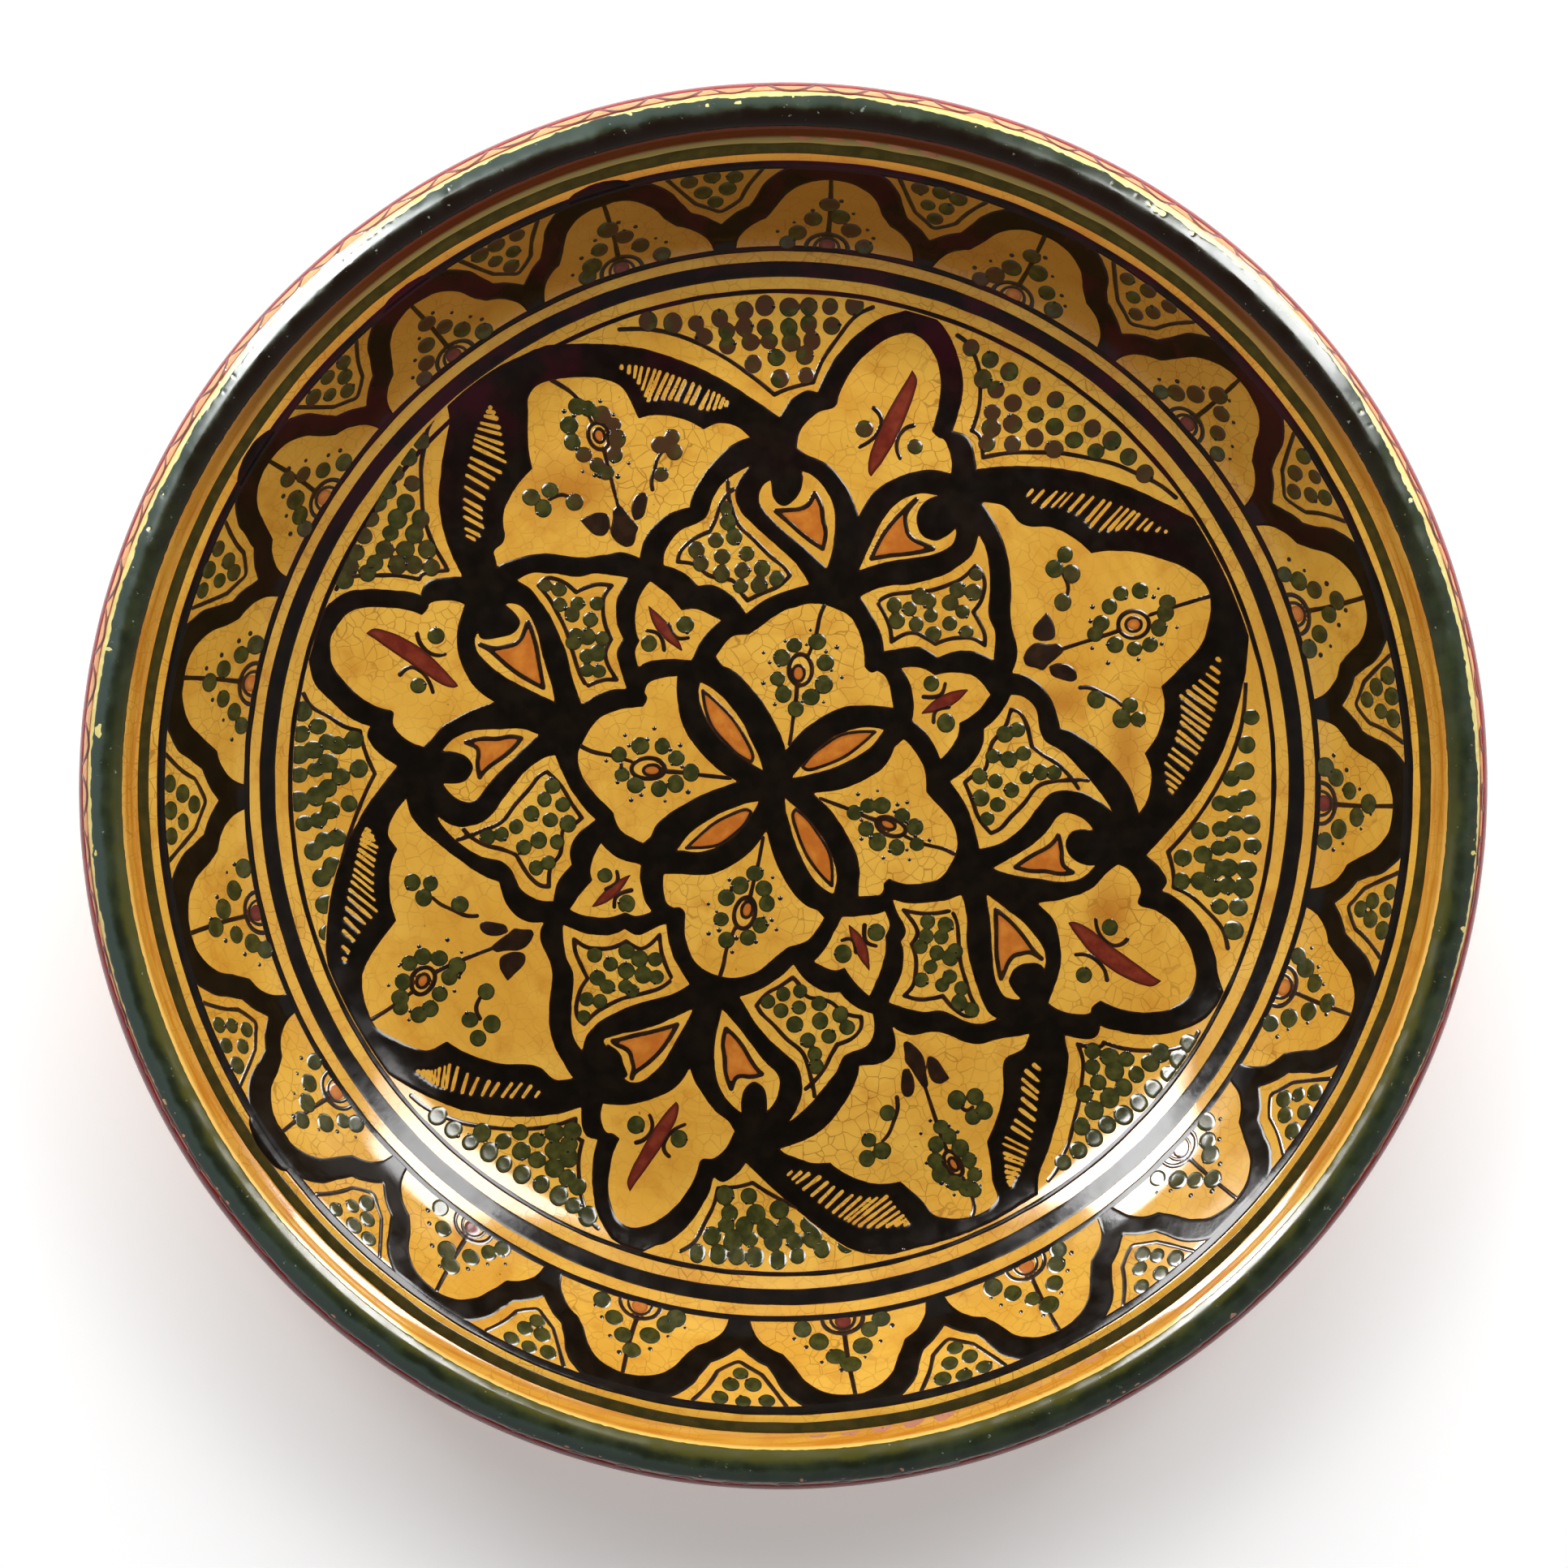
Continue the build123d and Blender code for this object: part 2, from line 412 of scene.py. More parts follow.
teardrop_right = [
    (21.2, 54.6, 1), (24.0, 60.7), (27.7, 68.0), (32.7, 73.0), (38.0, 74.3), (41.5, 73.8, 1),
    (38.0, 72.2),
    (36.0, 68.5), (37.0, 64.2), (40.5, 62.2), (44.0, 63.4), (46.3, 65.7, 1), (45.6, 61.8), (40.7, 58.8),
    (30.0, 57.2)]
kite_left = [
    (-6.5, 81.6, 1), (-12.4, 78.0), (-16.0, 73.4), (-18.0, 68.4), (-19.9, 66.8), (-24.9, 64.6),
    (-28.3, 59.8),
    (-29.0, 55.9, 1), (-24.2, 54.3), (-20.1, 50.7, 1), (-16.0, 50.8), (-11.0, 47.8), (-7.8, 43.5, 1),
    (-2.0, 47.5), (8.3, 51.1, 1), (5.1, 56.2), (-4.6, 65.1), (-9.6, 70.5), (-10.4, 75.4)]
kite_right = [
    (52.1, 64.0, 1), (54.3, 58.7), (55.0, 50.3), (54.7, 43.0), (56.3, 38.7), (56.0, 31.6, 1),
    (51.3, 33.7),
    (46.0, 33.8), (41.7, 32.2, 1), (37.0, 34.9), (33.0, 34.8), (27.7, 33.8, 1), (26.8, 39.0),
    (21.5, 47.9, 1),
    (26.7, 50.2), (36.0, 51.3), (44.3, 54.0), (50.3, 58.7)]
spindle_lobe = [
    (21.2, 68.4, 1), (18.3, 75.5), (12.9, 81.9), (8.1, 84.1), (5.3, 86.0, 1), (6.4, 90.8), (10.7, 94.9),
    (14.8, 96.1), (15.7, 97.2, 1), (17.1, 101.9), (21.4, 108.3), (28.2, 113.6), (34.6, 114.9),
    (39.2, 111.6),
    (41.9, 104.7), (41.6, 97.2), (39.8, 90.3, 1), (41.8, 88.6), (43.0, 88.3), (44.9, 83.6),
    (44.9, 79.5, 1),
    (38.6, 80.4), (31.4, 78.6), (25.0, 74.7)]
bud_cell = [
    (32.2, 29.6, 1), (37.3, 29.5), (40.9, 27.7, 1), (46.4, 28.4), (51.6, 27.0), (55.3, 22.7, 1),
    (52.0, 18.4),
    (47.3, 15.3, 1), (46.8, 11.8), (42.5, 5.9, 1), (39.4, 12.0), (35.0, 16.0, 1), (35.5, 20.0),
    (34.4, 25.9)]
trefoil = [
    (53.1, 72.0, 1), (58.9, 71.0), (62.5, 67.1), (65.0, 66.0), (71.2, 65.6), (76.6, 63.0),
    (81.2, 59.0, 1),
    (88.0, 59.7), (96.2, 58.5), (105.3, 55.0), (110.7, 50.5), (111.8, 44.4), (109.8, 35.7), (103.9, 28.9),
    (99.5, 24.8, 1), (100.5, 19.5), (98.5, 12.0), (95.4, 7.4, 1), (97.0, 2.4), (96.2, -4.3),
    (94.0, -8.1, 1),
    (91.0, -0.5), (85.2, 6.6), (77.7, 12.4), (73.3, 14.0, 1), (71.4, 20.8), (66.4, 26.6), (61.0, 28.3, 1),
    (62.3, 33.7), (60.6, 41.2), (60.5, 51.6), (58.7, 61.6)]
# The outer edge of the black strapwork, from the cusp over one tall loop to the next sector's.
outer_edge = [
    (0.8, 93.8, 1), (4.3, 98.6), (8.0, 100.6), (10.6, 100.0, 1), (13.6, 106.5), (19.6, 114.0),
    (27.1, 119.0),
    (31.1, 120.1), (36.5, 122.0, 1), (42.1, 117.2, 1), (46.1, 110.4), (48.0, 102.2), (46.4, 93.6),
    (45.3, 90.3, 1), (49.3, 88.6), (51.6, 80.6, 1), (61.6, 81.5), (75.3, 80.5), (88.0, 77.1),
    (100.3, 71.6),
    (110.5, 66.0, 1), (118.5, 53.5), (121.6, 41.0, 1), (119.8, 22.0), (112.5, 1.5)]

# Landmarks in the four sectors, each turned back a quarter turn per sector: where the painter's hand
# put the same point. The first is where the outlines above have it.
landmarks = [
    ((2.4, 8.1), (0.3, 9.8), (2.5, 12.2), (2.7, 9.5)),
    ((-15.5, 32.5), (-15.5, 34.3), (-12.3, 35.0), (-11.1, 32.9)),
    ((-7.0, 38.2), (-7.7, 42.0), (-3.2, 42.5), (2.5, 38.8)),
    ((12.3, 45.9), (9.5, 50.5), (14.5, 50.2), (18.6, 46.4)),
    ((23.5, 28.7), (20.7, 33.4), (24.1, 32.5), (25.3, 28.4)),
    ((30.1, 19.3), (27.5, 25.5), (29.1, 23.5), (29.6, 21.1)),
    ((27.8, 13.5), (25.9, 19.5), (25.6, 17.3), (28.8, 14.7)),
    ((4.2, 1.4), (3.2, 3.4), (4.4, 4.7), (3.8, 2.1)),
    ((13.0, 55.0), (12.5, 60.9), (14.0, 58.8), (22.3, 56.2)),
    ((21.2, 54.6), (20.7, 56.8), (21.6, 58.6), (29.1, 54.4)),
    ((8.3, 51.1), (7.3, 56.8), (9.4, 55.5), (17.1, 52.7)),
    ((-7.8, 43.5), (-9.4, 46.5), (-4.4, 47.1), (-0.3, 45.0)),
    ((-29.0, 55.9), (-30.4, 57.5), (-25.0, 60.0), (-22.7, 60.5)),
    ((-6.5, 81.6), (-8.0, 87.5), (-3.5, 88.0), (7.7, 87.1)),
    ((2.0, 71.1), (4.3, 78.0), (5.9, 77.7), (16.8, 75.0)),
    ((0.8, 93.8), (4.5, 97.5), (7.9, 98.8), (19.1, 95.9)),
    ((5.3, 86.0), (9.5, 90.6), (10.9, 90.5), (21.4, 88.6)),
    ((21.2, 68.4), (20.9, 72.3), (22.5, 74.1), (31.5, 67.9)),
    ((15.7, 97.2), (18.9, 98.9), (20.0, 98.6), (32.3, 94.5)),
    ((34.6, 114.9), (37.3, 113.6), (37.7, 115.0), (51.8, 108.6)),
    ((39.8, 90.3), (43.2, 90.7), (40.5, 92.3), (56.8, 84.3)),
    ((44.9, 79.5), (45.9, 79.8), (45.0, 83.0), (57.5, 70.7)),
    ((45.3, 90.3), (48.4, 91.1), (46.4, 92.5), (63.5, 84.3)),
    ((51.6, 80.6), (53.2, 80.5), (50.6, 84.1), (65.9, 75.0)),
    ((53.1, 72.0), (55.5, 71.6), (52.7, 76.4), (65.7, 65.6)),
    ((81.2, 59.0), (80.5, 62.5), (85.0, 66.6), (93.6, 54.7)),
    ((111.6, 48.0), (102.9, 57.3), (104.1, 60.5), (112.7, 50.7)),
    ((99.5, 24.8), (93.2, 35.2), (97.7, 35.3), (103.9, 32.3)),
    ((95.4, 7.4), (90.6, 18.6), (97.3, 16.8), (98.8, 14.1)),
    ((94.0, -8.1), (88.6, 6.6), (95.0, 3.6), (95.2, 0.7)),
    ((61.0, 28.3), (57.7, 35.0), (59.8, 35.9), (63.6, 30.2)),
    ((73.3, 14.0), (70.9, 22.3), (71.4, 25.5), (73.5, 21.5)),
    ((52.1, 64.0), (52.1, 66.6), (50.2, 69.3), (61.6, 57.7)),
    ((21.5, 47.9), (20.5, 50.0), (22.5, 52.1), (29.3, 47.9)),
    ((27.7, 33.8), (24.4, 38.6), (28.4, 36.4), (30.5, 30.3)),
    ((41.7, 32.2), (37.1, 39.4), (39.1, 37.7), (41.2, 32.3)),
    ((56.0, 31.6), (52.7, 38.0), (55.0, 36.6), (57.1, 29.1)),
    ((32.2, 29.6), (29.8, 35.5), (32.3, 33.2), (33.2, 28.2)),
    ((55.3, 22.7), (51.8, 32.3), (53.2, 32.5), (55.6, 24.1)),
    ((42.5, 5.9), (41.8, 14.4), (45.2, 15.6), (46.4, 9.8)),
    ((35.0, 16.0), (31.6, 21.8), (35.0, 21.2), (34.8, 17.0)),
    ((109.5, 66.0), (96.5, 83.0), (101.3, 73.0), (106.4, 67.7)),
    ((121.0, 41.6), (110.9, 58.8), (113.4, 56.7), (121.8, 30.2)),
    ((119.8, 22.0), (111.5, 37.0), (115.2, 34.0), (121.3, 20.0)),
    ((112.5, 1.5), (105.5, 18.0), (109.5, 13.5), (113.5, 8.0)),
    ((10.6, 100.0), (14.8, 104.1), (16.2, 102.7), (28.2, 100.2)),
    ((19.6, 114.0), (21.0, 113.8), (22.4, 114.3), (37.0, 110.6)),
    ((31.1, 120.1), (30.5, 119.0), (31.5, 119.8), (49.5, 114.4)),
    ((42.1, 117.2), (46.0, 114.2), (42.8, 117.6), (60.9, 111.4)),
    ((48.0, 102.2), (49.8, 102.7), (47.8, 103.0), (65.9, 98.2)),
    ((41.5, 73.8), (38.9, 76.5), (39.5, 76.5), (49.8, 69.5)),
    ((46.3, 65.7), (45.9, 69.2), (44.1, 68.2), (56.5, 63.6)),
    ((40.5, 62.2), (41.5, 65.6), (42.5, 68.4), (51.5, 60.3)),
    ((36.0, 68.5), (37.3, 71.8), (39.5, 73.0), (47.0, 65.5)),
    ((15.1, 67.6), (13.9, 71.0), (16.1, 71.0), (25.2, 69.0)),
    ((6.5, 80.1), (8.2, 85.9), (9.1, 85.6), (21.6, 82.7)),
    ((-1.4, 77.7), (0.0, 85.6), (2.5, 85.5), (12.5, 82.1)),
    ((-4.4, 73.5), (-4.7, 79.1), (-0.9, 78.2), (7.9, 75.5)),
    ((-10.4, 73.8), (-10.7, 79.1), (-6.5, 78.2), (2.5, 76.4)),
    ((-16.0, 73.4), (-18.8, 76.0), (-15.2, 75.5), (-7.5, 74.5)),
    ((-19.9, 66.8), (-22.0, 68.5), (-19.5, 70.0), (-13.0, 68.2)),
    ((60.2, 43.2), (57.7, 51.1), (57.5, 49.5), (65.0, 43.6)),
    ((54.7, 43.0), (52.9, 50.9), (52.5, 49.5), (59.4, 42.7)),
    ((65.0, 74.5), (62.5, 78.1), (61.4, 80.5), (73.8, 67.6)),
    ((101.0, 64.0), (96.5, 72.5), (93.0, 73.6), (105.2, 60.6)),
    ((114.1, 31.6), (106.3, 39.4), (111.0, 44.9), (114.7, 33.8)),
    ((102.3, -2.4), (97.2, 12.5), (105.0, 11.9), (101.5, 3.2)),
]

window_cells = [
    lobe, almond, teardrop_left, teardrop_right, kite_left, kite_right, spindle_lobe, bud_cell, trefoil]

# Brush lines inside the cells.
kite_left_line = [
    (-12.4, 77.5), (-12.3, 74.4), (-11.4, 70.5), (-9.6, 66.2), (-5.6, 62.3), (-1.7, 58.4), (1.9, 55.5),
    (3.5, 53.4, 1), (0.4, 50.5), (-3.9, 48.7), (-7.4, 46.9, 1), (-8.9, 48.7), (-11.0, 51.9),
    (-14.6, 52.6),
    (-17.4, 53.4), (-20.6, 56.0), (-25.3, 56.8, 1), (-24.6, 59.4), (-21.7, 62.3), (-17.1, 64.6, 1),
    (-15.6, 67.6), (-14.2, 71.6), (-12.6, 74.1), (-11.0, 75.3)]
kite_right_line = [
    (26.7, 47.0, 1), (29.3, 48.3), (34.7, 49.0), (40.0, 49.5), (45.0, 51.2), (48.0, 52.7),
    (51.3, 55.8, 1),
    (53.0, 54.0), (53.7, 51.0), (52.7, 46.7), (50.7, 44.0, 1), (52.3, 41.3), (53.7, 38.3),
    (53.8, 35.3, 1),
    (51.0, 37.0), (48.0, 37.3), (44.7, 37.0), (41.0, 35.7, 1), (38.7, 37.2), (36.0, 38.5), (33.3, 38.3),
    (29.7, 36.3, 1), (29.3, 39.7), (28.0, 43.0), (26.3, 46.0)]
right_field_line = [
    (46.1, 114.4), (48.2, 112.9), (50.4, 109.7), (51.8, 106.1), (52.3, 101.1), (52.0, 96.1),
    (50.2, 90.4, 1),
    (52.1, 89.2), (53.2, 83.6, 1), (59.4, 84.7), (66.2, 84.9), (73.5, 84.6), (79.8, 83.5), (86.6, 81.9),
    (91.6, 79.8), (98.0, 76.6), (102.3, 73.2)]
left_field_line = [
    (-40.0, 115.6), (-30.9, 115.6), (-21.8, 113.2), (-12.7, 108.6), (-5.5, 103.6), (-0.5, 99.5, 1),
    (2.7, 100.9), (9.5, 102.7, 1), (11.8, 108.2), (15.5, 113.6), (20.0, 119.1), (24.5, 121.4)]
almond_line = [
    (6.8, 4.1, 1), (9.1, 7.0), (12.3, 9.5), (16.2, 12.0), (19.8, 12.9), (25.5, 13.1, 1), (20.9, 9.1),
    (17.3, 6.6), (11.9, 4.3), (8.0, 3.4)]
left_spur = [
    (-0.1, 69.8, 1), (3.3, 70.0), (6.1, 70.3), (8.3, 71.4), (9.8, 74.4, 1), (11.5, 70.9), (11.9, 67.6),
    (12.6, 64.4), (11.9, 60.2, 1), (6.9, 63.7), (3.3, 66.9)]
right_spur = [
    (36.0, 72.8, 1), (33.3, 70.3), (30.3, 67.3), (27.3, 63.3), (24.5, 57.7, 1), (29.3, 58.5),
    (34.3, 59.0),
    (40.3, 60.2, 1), (38.0, 61.2), (35.7, 62.2), (34.0, 63.7), (33.3, 66.0), (33.2, 69.0)]
bars = [
    [(34.8, 105.8, 1), (36.1, 103.3), (35.4, 99.7), (33.9, 95.4), (32.1, 91.1), (29.6, 86.1),
    (27.1, 82.2),
     (24.3, 78.6, 1), (23.6, 80.1), (23.9, 84.0), (25.4, 88.3), (27.1, 92.2), (29.3, 96.5), (31.4, 100.1),
     (33.6, 103.6)],
    [(37.3, 17.7, 1), (42.1, 18.4), (46.4, 20.6), (49.8, 24.1, 1), (45.0, 23.4), (40.8, 21.2)]]
ticks = [
    [(25.0, 96.1), (26.4, 94.7), (27.0, 92.6), (25.7, 89.4), (23.9, 87.6), (21.4, 86.2)],
    [(35.2, 91.7), (33.2, 91.0), (31.4, 88.8), (30.9, 86.1), (31.8, 83.3)],
    [(38.0, 22.1), (42.3, 22.5), (43.6, 25.5)],
    [(44.5, 19.5), (41.2, 18.5), (40.6, 15.5)]]
stems = [
    [(12.3, 45.6), (11.2, 42.7), (10.3, 38.4), (8.4, 33.1)],
    [(5.3, 24.5), (5.0, 20.9), (4.4, 17.0), (3.9, 13.1), (3.4, 9.9)],
    [(111.6, 48.0), (103.0, 45.3), (96.6, 43.2)],
    [(88.0, 38.9), (80.7, 36.6), (73.9, 34.4)],
    [(74.1, 53.5), (75.3, 50.3), (74.6, 47.1)],
    [(78.5, 24.4), (81.0, 24.4), (84.3, 23.0), (87.3, 21.6), (89.3, 19.9)]]
tulip = [
    [(69.8, 44.1, 1), (71.9, 39.8), (71.6, 37.1), (68.5, 36.4), (66.4, 37.5), (66.4, 39.8), (68.5, 42.5)],
    [(63.7, 32.3, 1), (64.8, 34.4), (66.9, 36.0), (70.7, 35.7), (73.0, 35.7), (74.1, 33.9), (72.5, 32.1),
     (70.3, 30.3), (68.9, 28.9), (67.1, 29.4), (64.4, 30.3)],
    [(70.4, 29.9, 1), (72.7, 30.8), (75.6, 30.3), (77.3, 28.7), (77.7, 26.8), (76.6, 26.0), (73.5, 26.6),
     (71.2, 27.6)]]
rosettes = [((6.2, 29.1), (5.7, 28.2), 3.0, 4.0), ((92.3, 40.7), (92.3, 40.7), 4.0, 3.5)]

# Middles of the green dabs, and of the small dark ones.
green_dabs = [
    (4.6, 35.4), (10.5, 36.3), (1.4, 32.2), (12.6, 30.9), (0.3, 26.8), (12.2, 25.3), (1.8, 22.9),
    (8.9, 22.1),
    (5.0, 19.0),
    (88.9, 48.7), (93.9, 49.4), (101.0, 46.4), (100.5, 43.7), (98.9, 39.8), (96.6, 35.5), (92.5, 34.4),
    (87.6, 35.5), (82.3, 38.2), (83.9, 41.0), (86.0, 45.3), (74.4, 58.7), (71.7, 55.0), (76.1, 53.7),
    (73.9, 46.4), (82.7, 21.4), (91.5, 19.9), (89.3, 16.4), (93.7, 16.2),
    (22.6, 90.8), (35.6, 86.3), (40.0, 25.5), (43.8, 15.3)]
small_dabs = [
    (8.8, 39.3), (2.3, 36.5), (15.6, 34.9), (12.8, 33.8), (7.8, 35.6), (-3.3, 33.5), (-1.7, 31.0),
    (0.7, 30.2), (14.2, 29.0), (16.9, 27.1), (-3.3, 25.7), (11.2, 23.4), (-0.4, 20.2), (12.2, 20.8),
    (6.6, 20.9), (81.6, 45.2), (81.1, 41.6), (81.6, 34.6), (85.7, 30.8), (93.6, 31.7), (99.6, 35.7),
    (103.5, 39.9), (98.6, 50.0), (97.4, 47.8)]
kite_dabs = [
    (-12.8, 70.5), (-12.4, 67.1), (-15.5, 62.3), (-10.8, 63.2), (-20.5, 59.8), (-13.9, 58.2),
    (-7.6, 58.9),
    (-19.4, 56.4), (-14.1, 53.7), (-8.7, 54.6), (-3.7, 55.1), (-9.2, 50.5), (-4.4, 50.9), (0.1, 52.5),
    (30.3, 45.7), (31.0, 41.7), (34.3, 44.7), (36.0, 40.8), (37.0, 48.0), (39.3, 46.7), (39.8, 43.0),
    (40.5, 38.3), (44.8, 46.3), (44.7, 41.0), (46.7, 49.7), (48.0, 44.0), (49.0, 38.7), (50.8, 49.0),
    (51.5, 53.7)]
field_dabs = [
    (49.6, 111.3), (54.6, 108.3), (59.5, 105.3), (52.9, 103.5), (56.3, 100.8), (60.7, 97.4), (55.4, 95.1),
    (55.2, 91.1), (54.1, 87.2), (60.7, 92.2), (60.7, 86.9), (65.3, 101.6), (71.4, 98.2), (66.5, 94.5),
    (76.8, 94.7), (71.4, 91.4), (80.9, 90.9), (66.4, 88.6), (76.4, 88.0), (85.9, 87.7), (71.4, 85.7),
    (82.0, 85.0), (90.2, 83.6), (94.4, 79.3),
    (-32.7, 117.7), (-26.4, 117.3), (-20.5, 117.3), (-18.4, 114.1), (-14.5, 118.6), (-12.7, 115.5),
    (-12.5, 111.8), (-8.2, 120.5), (-8.2, 116.4), (-6.6, 112.7), (-5.9, 107.3), (-3.0, 121.8),
    (-2.9, 116.4),
    (-1.8, 113.0), (0.0, 108.9), (0.9, 103.6), (3.2, 121.4), (3.2, 116.4), (3.8, 112.7), (7.3, 109.5),
    (7.7, 104.3), (8.2, 121.6), (8.2, 117.3), (9.1, 113.2), (13.6, 121.6), (14.1, 116.8), (19.8, 121.8)]

# Slits left bare through the black crescents: the curve of their feet, the curve of their heads, their
# number, and the heading of them all in degrees.
hatches = [
    ([(64.8, 74.0), (67.7, 71.4), (73.6, 71.0), (79.2, 68.3), (82.2, 64.9, 1), (90.2, 65.3),
    (100.2, 64.6)],
     [(65.6, 75.3), (74.0, 74.7), (81.3, 73.5), (87.7, 71.3), (93.4, 69.0), (97.2, 66.6), (101.6, 63.4)],
     17, 48),
    ([(113.9, 31.8), (109.2, 25.9), (104.5, 22.1, 1), (104.9, 15.9), (102.7, 8.7), (100.9, 5.3),
      (101.8, -1.9)],
     [(114.4, 31.5), (114.0, 24.5), (113.0, 18.1), (110.7, 11.4), (108.2, 5.9), (105.1, 0.4),
      (102.7, -2.9)], 18, -38)]


def quarter_turn(points, quarters):
    c, s = ((1, 0), (0, 1), (-1, 0), (0, -1))[quarters % 4]
    p = np.asarray(points, float)
    return np.stack([c * p[:, 0] - s * p[:, 1], s * p[:, 0] + c * p[:, 1]], axis=1)


def painters_drift():
    """For each quarter, the map from the first quarter's drawing to where that quarter was painted."""
    source = np.array([mark[0] for mark in landmarks], float)
    maps = []
    for quarter in range(4):
        target = quarter_turn([mark[quarter] for mark in landmarks], quarter)
        move = thin_plate(source, target, 3.0)
        maps.append(lambda p, move=move: move(p) + np.array(pattern_centre))
    return maps


def lifted(azimuth, along, lift):
    """Points at an azimuth (radians) and a distance along the section, lifted off the skin square to it."""
    r, z, out, up = skin.at(along)
    cosine, sine = np.cos(azimuth), np.sin(azimuth)
    x, y = r * cosine, r * sine
    lift = lift + unevenness(x, y)
    return np.stack([x + lift * out * cosine, y + lift * out * sine, z + lift * up], axis=1)


def over_floor(x, y, lift):
    """For a canvas whose coordinates are plan positions."""
    return lifted(np.arctan2(y, x), skin.inside_radius(np.hypot(x, y)), lift)


def round_wall(radius):
    """For a canvas that runs clockwise round the plate, in millimetres at a radius, and up the section."""
    def place(x, y, lift):
        return lifted(-x / radius, y, lift)
    return place


well = Canvas(-130, 130, -130, 130, 0.4, over_floor)
drift = painters_drift()
dabs = np.random.default_rng(12)


def across_to(foot, line, heading):
    """Where a straight slit from its foot, at a heading in degrees, meets a sampled curve."""
    side = (line - foot) @ np.array([-sin(radians(heading)), cos(radians(heading))])
    crossed = np.nonzero(np.diff(np.sign(side)))[0]
    if not len(crossed):
        return line[np.argmin(np.abs(side))]
    k = crossed[0]
    return line[k] + (line[k + 1] - line[k]) * side[k] / (side[k] - side[k + 1])


def along_line(line, share):
    """The point at a share of the length of a sampled curve."""
    steps = np.concatenate([[0], np.cumsum(np.hypot(*np.diff(line, axis=0).T))])
    return np.array([np.interp(share * steps[-1], steps, line[:, k]) for k in range(2)])


def blank_layers(canvas, *names):
    return {name: canvas.blank() for name in names}


def draw_border(layer):
    """Fills the black strapwork's outline, which runs through the four quarters in turn."""
    border = []
    for quarter in (0, 3, 2, 1):
        moved = drift[quarter]([p[:2] for p in outer_edge])
        border += [(*xy, *p[2:]) for xy, p in zip(moved, outer_edge)]
    well.fill(layer["black"], path(border, closed=True))


def draw_hatching(layer, move):
    """The slits through the two crescents of a quarter."""
    for feet, heads, count, heading in hatches:
        feet, heads = path(feet), path(heads)
        for i in range(count):
            foot = along_line(feet, np.clip((i + dabs.uniform(-0.15, 0.15)) / (count - 1), 0, 1))
            head = across_to(foot, heads, heading + dabs.uniform(-2, 2))
            well.stroke(layer["windows"], move([foot, head]), dabs.uniform(0.6, 1.1), 0.8)


def draw_brushwork(layer, move):
    """The lines, orange hearts, red bars and ticks inside a quarter's cells."""
    for line in (kite_left_line, kite_right_line, right_field_line, left_field_line):
        well.stroke(layer["lines"], move(path(line)), 1.15)
    for heart, width in ((almond_line, 1.0), (left_spur, 1.35), (right_spur, 1.35)):
        outline = move(path(heart, closed=True))
        well.stroke(layer["lines"], np.vstack([outline, outline[:1]]), width)
        well.fill(layer["orange"], outline)
    for bar in bars:
        well.fill(layer["red"], move(path(bar, closed=True)))
    for tick in ticks:
        well.stroke(layer["lines"], move(curve(tick)), 1.25, 1.0)


def draw_flowers(layer, move):
    """A quarter's stems, tulip and rosettes, and the green dabs and specks strewn round them."""
    for stem in stems:
        well.stroke(layer["lines"], move(curve(stem)), 1.2, 1.0)
    for petal in tulip:
        well.fill(layer["lines"], move(path(petal, closed=True)))
    for outer, inner, half_x, half_y in rosettes:
        well.stroke(layer["lines"], move(ellipse(outer, half_x, half_y)), 1.2)
        well.stroke(layer["lines"], move(ellipse(inner, half_x * 0.5, half_y * 0.5)), 1.0)
        well.fill(layer["orange"], move(ellipse(inner, half_x * 0.48, half_y * 0.48)))
    for middles, radius in ((green_dabs, 2.25), (kite_dabs, 2.1), (field_dabs, 2.4)):
        for middle in move(middles):
            dab_of_green(well, layer, middle, radius)
    for middle in move(small_dabs):
        well.dot(layer["specks"], middle, dabs.uniform(0.45, 0.7))


def draw_well():
    """Every layer of paint on the floor of the plate, by colour, with the brush's slight wavering."""
    layer = blank_layers(well, "black", "windows", "lines", "orange", "red", "green", "specks")
    draw_border(layer)
    for move in drift:
        for cell in window_cells:
            well.fill(layer["windows"], move(path(cell, closed=True)))
        draw_hatching(layer, move)
        draw_brushwork(layer, move)
        draw_flowers(layer, move)
    x, y = well.grid()
    shiver = 0.12 * noise(x, y, 3.2, 21) + 0.06 * noise(x, y, 1.3, 22)
    upper_left = np.exp(-((np.degrees(np.arctan2(y, x)) - 128) / 16) ** 2)
    rim = np.hypot(x, y) - 125.5 - 4.0 * upper_left
    black = np.maximum(np.maximum(layer["black"] + shiver, rim), -(layer["windows"] - shiver))
    layer["black"] = black
    for name in ("lines", "orange", "red", "green", "specks"):
        layer[name] = np.maximum(layer[name] + 0.5 * shiver, rim)
    layer["green"] = np.maximum(layer["green"], 0.15 - black)
    return layer


def dab_of_green(canvas, layer, middle, radius):
    """A dab of green that is seldom quite round, often with a speck of black on its rim."""
    radius = radius * dabs.uniform(0.88, 1.08)
    canvas.dot(layer["green"], middle, radius, dabs.uniform(0.92, 1.08))
    turn = dabs.uniform(0, 2 * pi)
    if dabs.uniform() < 0.7:
        speck = np.array(middle) + radius * 0.85 * np.array([cos(turn), sin(turn)])
        canvas.dot(layer["specks"], speck, dabs.uniform(0.4, 0.65))


# ---- The garland and rings round the wall --------------------------------------------------
wall_radius = 145.0
per_degree = radians(wall_radius)
around_wall = 2 * pi * wall_radius
wall = Canvas(-around_wall, 0, skin.inside_radius(124.0), skin.inside_radius(160.6), 0.4,
              round_wall(wall_radius), wraps=True)

